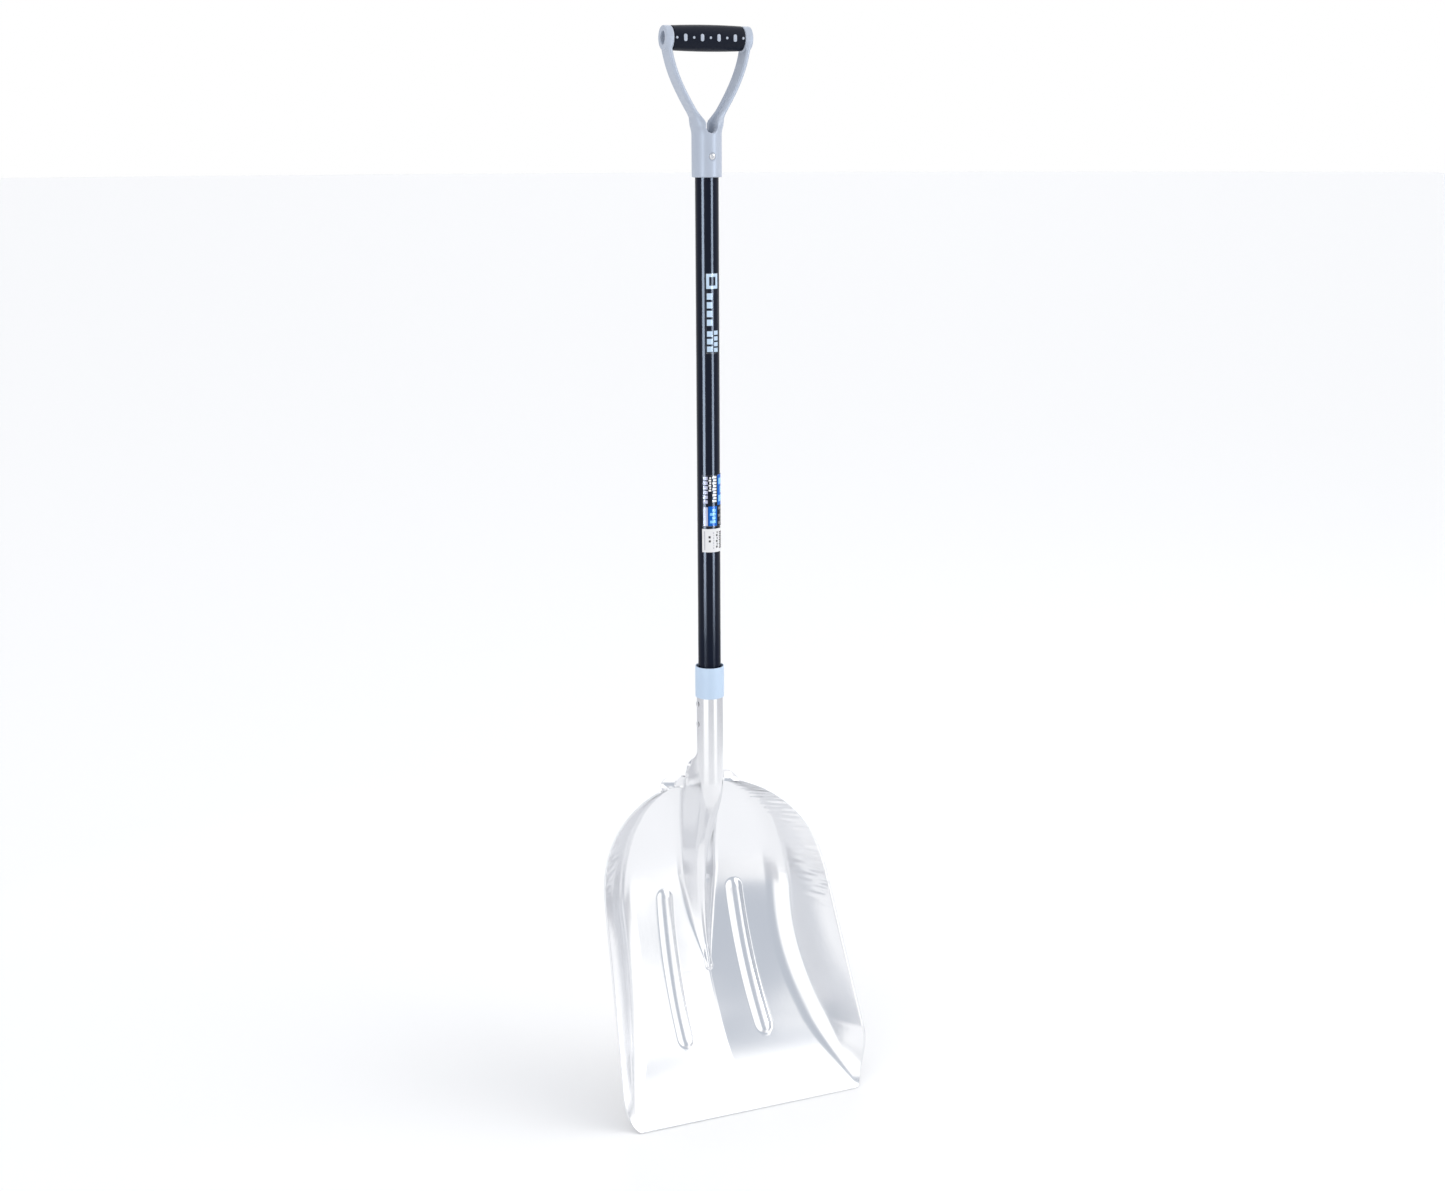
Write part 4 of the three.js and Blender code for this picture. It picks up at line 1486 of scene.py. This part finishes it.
@dataclass
class Grip:
    """The rubber sleeve with its windows, and the core's pads in them. Z is from the grip's axis."""

    level: float
    half_length: float = 47.0
    end_diameter: float = 30.0
    middle_diameter: float = 32.2
    inner_radius: float = 12.0
    dot_diameter: float = 3.4
    slot_width: float = 4.8
    slot_height: float = 9.0
    pitch: float = 11.0
    marks_each_side: int = 4
    pad_gap: float = 0.05
    pad_sink: float = 0.05
    pad_sides: int = 32
    plain_angle: float = 0.62
    plain_fade: float = 14.0
    flutes: int = 56
    flute_depth: float = 0.1
    step: float = 0.45

    def marks(self) -> list[Mark]:
        """Dots and slots in turns along the front."""
        result = []
        for place in range(-self.marks_each_side, self.marks_each_side + 1):
            x = place * self.pitch
            if place % 2:
                result.append(Mark(x, self.slot_width / 2, self.slot_height / 2))
            else:
                result.append(Mark(x, self.dot_diameter / 2, self.dot_diameter / 2))
        return result

    def radius_at(self, x: np.ndarray | float) -> np.ndarray | float:
        """The sleeve's radius, fullest in the middle."""
        share = (x / self.half_length) ** 2
        return (self.middle_diameter + (self.end_diameter - self.middle_diameter) * share) / 2

    def moulded(self, grid: Grid) -> np.ndarray:
        """The sleeve's field."""
        x, y, z = grid.x, grid.y, grid.z
        radial = np.hypot(y, z)
        around = np.arctan2(z, -y)
        band = 1 / (1 + np.exp(-(np.abs(around) - self.plain_angle) * self.plain_fade))
        flute = self.flute_depth * band * (1 - np.cos(self.flutes * around)) / 2
        body = round_box(radial - self.radius_at(x) + flute, np.abs(x) - self.half_length, 0.9)
        body = cut(body, radial - self.inner_radius, 0.4)
        for mark in self.marks():
            straight = mark.half_height - mark.half_width
            side = np.hypot(x - mark.x, np.maximum(np.abs(z) - straight, 0)) - mark.half_width
            body = cut(body, np.maximum(side, y), 0.35)
        return body

    def pad(self, mark: Mark) -> Mesh:
        """One of the core's pads, with a domed top facing -Y."""
        sides = self.pad_sides
        outline = np.linspace(0, 2 * math.pi, sides, endpoint=False)
        straight = mark.half_height - mark.half_width
        top = float(self.radius_at(mark.x)) - self.pad_sink
        half = mark.half_width - self.pad_gap
        dome = [(0.0, 0.5), (0.12, 0.2), (0.45, 0.03), (half, 0.0)]
        rings = [(0.0, self.inner_radius - 1.5)] + [(inset, top - drop) for inset, drop in dome]
        points = []
        for inset, reach in rings:
            radius = half - inset
            shift = np.where(np.sin(outline) > 0, straight, -straight)
            x, z = mark.x + radius * np.cos(outline), shift + radius * np.sin(outline)
            points.append(np.stack([x, np.full(sides, -reach), z], 1))
        index = np.arange(len(rings) * sides).reshape(-1, sides)
        faces: list = [index[0, ::-1].tolist()]
        for lower, upper in pairwise(index):
            faces += np.stack([lower, np.roll(lower, -1), np.roll(upper, -1), upper], 1).tolist()
        return np.concatenate(points), faces

    def build(self, rubber: Material, plastic: Material) -> None:
        """Moulds the sleeve, makes the pads, and dresses both."""
        margin = 3 * self.step
        reach = self.middle_diameter / 2 + margin
        half = self.half_length + margin
        grid = Grid((-half, -reach, -reach), (half, reach, reach), self.step)
        points, faces = skin(self.moulded(grid), grid)
        piece = mesh_piece("grip_sleeve_skin", points, faces, self.level)
        finish_piece(piece, rubber, "grip_sleeve")
        all_points, all_faces, count = [], [], 0
        for mark in self.marks():
            points, faces = self.pad(mark)
            all_points.append(points)
            all_faces += [[count + i for i in face] for face in faces]
            count += len(points)
        pads = mesh_piece("grip_pads", np.concatenate(all_points), all_faces, self.level, sharp=70)
        finish_piece(pads, plastic)


# ---- prints round the shaft


class Ink(Enum):
    """The inks of the prints; the lilac one is partly a painted highlight."""

    BLACK = (0.004, 0.007, 0.018)
    BLUE = (0.0, 0.12, 0.55)
    SKY = (0.25, 0.6, 0.9)
    WHITE = (0.85, 0.86, 0.88)
    # Lilac print that is partly a painted highlight: its pale bluish tint stands in for the left
    # strip's shine on the film.
    LILAC = (0.5, 0.52, 0.68)
    GREY = (0.2, 0.19, 0.19)
    PAPER = (0.8, 0.8, 0.81)
    FAINT = (0.5, 0.5, 0.54)
    MARK = (0.03, 0.03, 0.035)
    STAMP = (0.55, 0.7, 0.86)


BAR_SHARE = 0.72  # the part of its pitch that a bar fills
BAR_GAP = 0.14


@dataclass
class Block:
    """A printed rectangle: angles from the front towards +X in degrees, and heights."""

    start: float
    end: float
    low: float
    high: float
    ink: Ink


def bars(
    start: float, end: float, low: float, high: float, count: int, ink: Ink, short: float = 0.0
) -> list[Block]:
    """A column of plain bars.

    Args:
        start: The column's first angle.
        end: Its last angle.
        low: Height of its lower end.
        high: Height of its upper end.
        count: How many bars it has.
        ink: Their ink.
        short: How much shorter every other bar is, as a share of the column's width.

    Returns:
        The bars.
    """
    pitch = (high - low) / count
    result = []
    for i in range(count):
        inset = (end - start) * short * (i % 2)
        bottom = low + pitch * (i + BAR_GAP)
        result.append(Block(start + inset, end, bottom, bottom + BAR_SHARE * pitch, ink))
    return result


@dataclass
class WrappedPrint:
    """A thin printed sheet round the shaft."""

    name: str
    slot: str
    start: float
    sweep: float
    ground: Ink
    replaced: str | None = None
    inner_radius: float = 15.3
    thickness: float = 0.4
    fineness: float = 3.0
    row_height: float = 20.0

    def lines(self, ends: list[float], first: float, last: float, most: float) -> np.ndarray:
        """Grid lines that pass through every block's ends, with none further apart than most."""
        marks = sorted({first, last, *(e for e in ends if first < e < last)})
        result: list[float] = []
        for a, b in pairwise(marks):
            count = max(1, math.ceil((b - a) / most))
            result += [a + (b - a) * i / count for i in range(count)]
        return np.array([*result, last])

    def ink_at(self, blocks: list[Block], angle: float, height: float) -> Ink:
        """The ink at one place; later blocks lie over earlier ones."""
        found = self.ground
        for block in blocks:
            if block.start < angle < block.end and block.low < height < block.high:
                found = block.ink
        return found

    def build(
        self, low: float, height: float, design: Callable[[float], list[Block]], material: Material
    ) -> None:
        """Makes the sheet, prints it and dresses it.

        Args:
            low: Height of its lower edge in the CAD frame, in metres.
            height: How high it is.
            design: Gives its blocks for that height.
            material: Its material.
        """
        blocks = design(height)
        sides = [e for b in blocks for e in (b.start, b.end)]
        ends = [e for b in blocks for e in (b.low, b.high)]
        angles = self.lines(sides, self.start, self.start + self.sweep, self.fineness)
        heights = self.lines(ends, 0.0, height, self.row_height)
        turns, level = np.meshgrid(np.radians(angles), heights)
        layers = []
        for radius in (self.inner_radius + self.thickness, self.inner_radius):
            layer = np.stack([radius * np.sin(turns), -radius * np.cos(turns), level], 2)
            layers.append(layer.reshape(-1, 3))
        rows, columns = level.shape
        faces, border = sheet_faces(rows, columns)
        printed = len(faces) // 2
        faces += border_faces(border, border + rows * columns)
        piece = mesh_piece(self.name, np.concatenate(layers), faces, low, sharp=40)
        ink = piece.data.color_attributes.new(INK_LAYER, "FLOAT_COLOR", "CORNER")
        middles = [
            ((angles[j] + angles[j + 1]) / 2, (heights[i] + heights[i + 1]) / 2)
            for i in range(rows - 1)
            for j in range(columns - 1)
        ]
        colours = np.ones((len(piece.data.loops), 4), np.float32)
        colours[:, :3] = self.ground.value
        for polygon in piece.data.polygons:
            if polygon.index < printed:
                loops = slice(polygon.loop_start, polygon.loop_start + polygon.loop_total)
                colours[loops, :3] = self.ink_at(blocks, *middles[polygon.index]).value
        ink.data.foreach_set("color", colours.ravel())
        finish_piece(piece, material, self.replaced)


def film_blocks(height: float) -> list[Block]:
    """The film label's generic panels and bars; the lilac column left of the front is partly a painted
    highlight.
    """
    split = 0.41 * height
    return [
        # Painted highlight: the lilac column at -49 to -27 degrees lies where the left strip's shine
        # falls, and its pale tint stands in for that shine on the printed blocks.
        *bars(-49, -27, split + 2, height - 1, 6, Ink.LILAC),
        Block(-49, -27, 1, split - 2, Ink.LILAC),
        *bars(-22, -10, 0.68 * height, height - 2, 6, Ink.WHITE, 0.3),
        *bars(-4, 18, split + 4, height - 1, 9, Ink.WHITE, 0.25),
        Block(24, 112, split, height, Ink.BLUE),
        *bars(32, 96, split + 3, height - 3, 3, Ink.SKY, 0.2),
        Block(-24, 21, 1, split - 1, Ink.BLUE),
        *bars(-16, 14, 4, split - 4, 4, Ink.SKY, 0.35),
        *bars(30, 110, 2, split - 2, 5, Ink.GREY, 0.2),
        *bars(124, 184, 6, height - 6, 8, Ink.WHITE, 0.4),
    ]


def sticker_blocks(height: float) -> list[Block]:
    """The sticker's generic marks: two dots and rows of ticks."""
    return [
        Block(-24, -14, 0.6 * height, 0.7 * height, Ink.MARK),
        Block(-23, -13, 0.43 * height, 0.52 * height, Ink.MARK),
        *bars(-2, 4, 4, height - 4, 7, Ink.FAINT, 0.3),
        *bars(14, 24, 5, height - 3, 6, Ink.MARK, 0.45),
        *bars(34, 64, 4, height - 4, 9, Ink.MARK, 0.1),
        Block(-46, -40, 3, height - 3, Ink.FAINT),
    ]


def stamp_blocks(height: float) -> list[Block]:
    """The plain pattern stamped on the shaft: a square ring and two rows of bars."""
    square = height - 19
    return [
        Block(-28, 34, square, height, Ink.STAMP),
        Block(-14, 20, square + 4, height - 4, Ink.BLACK),
        *bars(-26, 2, 34, square - 4, 4, Ink.STAMP),
        *bars(-26, 2, 1, 30, 3, Ink.STAMP),
        *bars(10, 34, 1, 30, 4, Ink.STAMP),
    ]


# ---- studio


def grey(value: float) -> Colour:
    """A plain grey."""
    return (value, value, value, 1.0)


@dataclass(frozen=True)
class Strip:
    """A tall soft light that shows in the shine of a few pieces."""

    name: str
    azimuth: float
    width: float
    power: float
    pieces: tuple[str, ...]
    height: float = 3.0
    colour: Spot = (0.68, 0.81, 1.0)


PAINTED = ("shaft_tube_skin", "shaft_stamp", "film_label_skin")
MOULDED = ("handle_yoke_skin", "neck_collar_skin")
STRIPS = (
    Strip("tube_strip_left", -64, 1.1, 560, PAINTED),
    Strip("tube_strip_right", 27, 0.9, 400, PAINTED),
    Strip("plastic_strip_left", -54, 0.6, 65, MOULDED),
    Strip("plastic_strip_right", 38, 0.6, 60, MOULDED),
)


@dataclass(frozen=True)
class Panel:
    """An upright stretch of the surroundings, between two azimuths."""

    low: float
    high: float
    soft: float
    colour: Colour

    def mask(self, graph: Graph, azimuth: Socket) -> Socket:
        """One over the panel and nothing elsewhere, with soft edges."""
        low, high, soft = (math.radians(a) for a in (self.low, self.high, self.soft))
        rising = graph.ramp(azimuth, (low - soft, low + soft))
        return graph.times(rising, graph.ramp(azimuth, (high - soft, high + soft), (1.0, 0.0)))


CURTAIN_PANELS = (Panel(-78, -36, 5, grey(1.3)), Panel(14, 42, 5, grey(1.3)))
REAR_PANELS = (Panel(143, 168, 6, grey(1.5)), Panel(-150, -128, 6, grey(1.3)))


@dataclass
class Studio:
    """The floor, the soft lights, the surroundings and the camera.

    Lengths are in metres and azimuths in degrees, from the front towards +X. Zones of the
    surroundings are in radians of azimuth, or in the height of a direction of length one.
    """

    floor_level: float
    aim_height: float
    sides: int = 96
    floor_radius: float = 60.0
    floor_colour: Colour = grey(0.95)
    light_distance: float = 2.7
    key_place: Spot = (2.6, -1.2, 1.2)
    key_size: float = 2.0
    key_power: float = 20.0
    curtain_radius: float = 1.45
    curtain_height: float = 0.26
    curtain_colour: Colour = (0.66, 0.67, 0.71, 1.0)
    front_colour: Colour = grey(1.3)
    right_colour: Colour = (0.98, 0.98, 1.0, 1.0)
    left_colour: Colour = (0.7, 0.71, 0.75, 1.0)
    rear_colour: Colour = (0.5, 0.52, 0.57, 1.0)
    ceiling_colour: Colour = grey(1.7)
    shade_colour: Colour = (0.58, 0.62, 0.69, 1.0)
    side_zone: Point = (1.38, 1.56)
    rear_zone: Point = (1.9, 2.3)
    lean_zone: Point = (0.72, 0.84)
    lean: float = 0.27
    shade_left: Point = (-0.4, -0.22)
    shade_right: Point = (0.38, 0.5)
    shade_low: Point = (-0.3, -0.1)
    shade_high: Point = (0.94, 0.99)
    ceiling_zone: Point = (0.89, 0.95)
    slope_zone: Point = (0.3, 0.75)
    slope: float = 0.08
    lens: float = 48.38
    sensor_width: float = 36.0
    view_reach: float = 100.0
    eye: Spot = (-0.9551, -2.3063, -0.0949)
    eye_turn: Spot = (22.9, 13.463, -0.233)

    def staged(self, name: str, points: list, faces: list, shader: str, inputs: dict) -> Graph:
        """A mesh that belongs to the studio, with a plain material.

        Args:
            name: Its name.
            points: Its vertices, from the floor's level.
            faces: Its faces.
            shader: The type of its material's shader.
            inputs: The shader's inputs.

        Returns:
            The material's graph.
        """
        mesh = bpy.data.meshes.new(name)
        mesh.from_pydata(points, [], faces)
        thing = bpy.data.objects.new(name, mesh)
        thing.location.z = self.floor_level
        bpy.context.scene.collection.objects.link(thing)
        material, graph = new_material(name)
        surface = graph.add(shader, inputs)
        graph.give(surface.outputs[0], graph.add("ShaderNodeOutputMaterial"))
        mesh.materials.append(material)
        return graph

    def ring(self, radius: float, height: float) -> list[Spot]:
        """Points round a circle."""
        turns = np.linspace(0, 2 * math.pi, self.sides, endpoint=False)
        return [(radius * math.cos(a), radius * math.sin(a), height) for a in turns]

    def floor(self) -> None:
        """A wide plain pale floor."""
        inputs = {"Base Color": self.floor_colour, "Roughness": 0.8, "Specular IOR Level": 0.2}
        rim = self.ring(self.floor_radius, 0.0)
        faces = [list(range(self.sides))]
        self.staged("studio_floor", rim, faces, "ShaderNodeBsdfPrincipled", inputs)

    def light(self, name: str, place: Vector, power: float) -> bpy.types.Object:
        """An area light that looks at the middle of the shovel and isn't seen itself."""
        lamp = bpy.data.objects.new(name, bpy.data.lights.new(name, "AREA"))
        lamp.data.energy = power
        lamp.location = place
        aim = Vector((0, 0, self.aim_height)) - lamp.location
        lamp.rotation_euler = aim.to_track_quat("-Z", "Y").to_euler()
        lamp.visible_camera = False
        bpy.context.scene.collection.objects.link(lamp)
        return lamp

    def lights(self) -> None:
        """Tall strips for the tube's and the plastics' highlights, and a gentle key."""
        for strip in STRIPS:
            turn = math.radians(strip.azimuth)
            way = Vector((math.sin(turn), -math.cos(turn), 0))
            place = Vector((0, 0, self.aim_height)) + self.light_distance * way
            lamp = self.light(strip.name, place, strip.power)
            lamp.data.shape = "RECTANGLE"
            lamp.data.size, lamp.data.size_y = strip.width, strip.height
            lamp.data.color = strip.colour
            lamp.visible_diffuse = False
            lit = bpy.data.collections.new(strip.name + "_pieces")
            for piece in strip.pieces:
                lit.objects.link(bpy.data.objects[piece])
            lamp.light_linking.receiver_collection = lit
        self.light("key", Vector(self.key_place), self.key_power).data.size = self.key_size

    @staticmethod
    def azimuth(graph: Graph, way: bpy.types.Node) -> Socket:
        """The azimuth of a direction that has been split into X, Y and Z."""
        ahead = graph.times(way.outputs["Y"], -1.0)
        return graph.maths("ARCTAN2", way.outputs["X"], ahead)

    def curtain(self) -> None:
        """A low ring that shows only in shiny surfaces, grey with two bright stretches."""
        points = self.ring(self.curtain_radius, 0.0)
        points += self.ring(self.curtain_radius, self.curtain_height)
        lower = np.arange(self.sides)
        faces = border_faces(lower, lower + self.sides)
        graph = self.staged("studio_curtain", points, faces, "ShaderNodeEmission", {})
        ring = bpy.data.objects["studio_curtain"]
        ring.visible_camera = ring.visible_diffuse = ring.visible_shadow = False
        place = graph.add("ShaderNodeTexCoord").outputs["Object"]
        azimuth = self.azimuth(graph, graph.add("ShaderNodeSeparateXYZ", {0: place}))
        left, right = (panel.mask(graph, azimuth) for panel in CURTAIN_PANELS)
        bright = graph.maths("ADD", left, right)
        colour = graph.mix(bright, self.curtain_colour, CURTAIN_PANELS[0].colour)
        graph.give(colour, graph.tree.nodes["Emission"], "Color")

    def surroundings(self) -> None:
        """Pale walls all round, a little greyer in front of the scoop's right half."""
        world = bpy.data.worlds.new("studio_world")
        bpy.context.scene.world = world
        world.use_nodes = True
        graph = Graph(world.node_tree)
        place = graph.add("ShaderNodeTexCoord").outputs["Generated"]
        way = graph.add("ShaderNodeSeparateXYZ", {0: place})
        azimuth, height = self.azimuth(graph, way), way.outputs["Z"]
        near, far = self.side_zone
        wall = graph.mix(graph.ramp(azimuth, self.side_zone), self.front_colour, self.right_colour)
        wall = graph.mix(graph.ramp(azimuth, (-far, -near), (1.0, 0.0)), wall, self.left_colour)
        behind = graph.ramp(graph.maths("ABSOLUTE", azimuth), self.rear_zone)
        wall = graph.mix(behind, wall, self.rear_colour)
        for panel in REAR_PANELS:
            wall = graph.mix(panel.mask(graph, azimuth), wall, panel.colour)
        lean = graph.ramp(height, self.lean_zone, (0.0, self.lean))
        turned = graph.maths("SUBTRACT", azimuth, lean)
        right = graph.ramp(turned, self.shade_right, (1.0, 0.0))
        shade = graph.times(graph.ramp(azimuth, self.shade_left), right)
        shade = graph.times(shade, graph.ramp(height, self.shade_low))
        top = graph.maths("SUBTRACT", height, graph.ramp(azimuth, self.slope_zone, (self.slope, 0.0)))
        shade = graph.times(shade, graph.ramp(top, self.shade_high, (1.0, 0.0)))
        wall = graph.mix(graph.ramp(top, self.ceiling_zone), wall, self.ceiling_colour)
        wall = graph.mix(shade, wall, self.shade_colour)
        seen = graph.add("ShaderNodeLightPath").outputs["Is Camera Ray"]
        colour = graph.mix(seen, wall, grey(1.0))
        background = graph.add("ShaderNodeBackground", {"Color": colour, "Strength": 1.0})
        graph.give(background.outputs[0], graph.add("ShaderNodeOutputWorld"))

    def camera(self) -> None:
        """A camera a little above the middle, looking from the left of the front and down."""
        data = bpy.data.cameras.new("camera")
        data.sensor_width = self.sensor_width
        data.lens = self.lens
        data.clip_end = self.view_reach
        eye = bpy.data.objects.new("camera", data)
        azimuth, pitch, roll = (math.radians(a) for a in self.eye_turn)
        ahead = math.cos(pitch)
        look = Vector((ahead * math.sin(azimuth), ahead * math.cos(azimuth), -math.sin(pitch)))
        level = Vector((math.cos(azimuth), -math.sin(azimuth), 0))
        upright = level.cross(look)
        right = level * math.cos(roll) + upright * math.sin(roll)
        up = right.cross(look)
        turn = Matrix((right, up, -look)).transposed().to_4x4()
        eye.matrix_world = Matrix.Translation(self.eye) @ turn
        bpy.context.scene.collection.objects.link(eye)
        bpy.context.scene.camera = eye

    def build(self) -> None:
        """Sets everything up, with plain colours in the picture."""
        bpy.context.scene.view_settings.view_transform = "Standard"
        self.floor()
        self.curtain()
        self.lights()
        self.surroundings()
        self.camera()
        log.info("studio ready")


# ---- assembly


SHAFT_IN_NECK = 100.0
STAMP_DROP = 264.0  # from the shaft's top to the stamp's lower end
STAMP_HEIGHT = 101.0


def heights(node: str) -> Point:
    """A CAD node's lowest and highest point, in metres."""
    low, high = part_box(node)
    return low.z, high.z


def span(node: str) -> Point:
    """A CAD node's lowest point in metres, and its height in millimetres."""
    low, high = heights(node)
    return low, (high - low) / MM


def main() -> None:
    """Builds the shovel piece by piece around the CAD frame, and then the studio."""
    logging.basicConfig(level=logging.INFO, format="%(name)s: %(message)s")
    effects = Effects()
    plastic, print_film = HANDLE_PLASTIC.build(effects), FILM_PRINT.build(effects)
    shaft_low, shaft_high = heights("shaft_tube")
    collar_low, collar_high = heights("neck_collar")
    yoke_low, yoke_high = heights("handle_yoke")
    scoop = Scoop(0.0)
    scoop.level = shaft_low - (scoop.blade_length + scoop.neck_length - SHAFT_IN_NECK) * MM
    scoop.build(SHEET_ALUMINIUM.build(effects))
    Shaft(shaft_low, (shaft_high - shaft_low) / MM).build(SHAFT_PAINT.build(effects))
    Collar(collar_low, (collar_high - collar_low) / MM).build(COLLAR_PLASTIC.build(effects))
    rivet_metal = RIVET_METAL.build(effects)
    for name in ("neck_rivet_upper", "neck_rivet_lower"):
        Rivet(name, sum(heights(name)) / 2).build(rivet_metal)
    yoke = Yoke(yoke_low)
    yoke.build(plastic)
    Grip(yoke_low + yoke.grip_height * MM).build(GRIP_RUBBER.build(effects), plastic)
    seat = yoke.socket_diameter / 2 - yoke.pocket_depth
    Screw(yoke_low + yoke.screw_height * MM, seat).build(SCREW_PLATING.build(effects))
    film = WrappedPrint("film_label_skin", "film_print", -56, 250, Ink.BLACK, "film_label")
    film.build(*span("film_label"), film_blocks, print_film)
    sticker = WrappedPrint("price_sticker_skin", "sticker_paper", -56, 130, Ink.PAPER, "price_sticker")
    sticker.build(*span("price_sticker"), sticker_blocks, STICKER_PAPER.build(effects))
    stamp = WrappedPrint("shaft_stamp", "film_print", -30, 66, Ink.BLACK, None, 15.01, 0.04)
    stamp.build(shaft_high - STAMP_DROP * MM, STAMP_HEIGHT, stamp_blocks, print_film)
    blade_low = heights("scoop_blade")[0]
    Studio(blade_low, (blade_low + yoke_high) / 2).build()


if __name__ == "__main__":
    main()
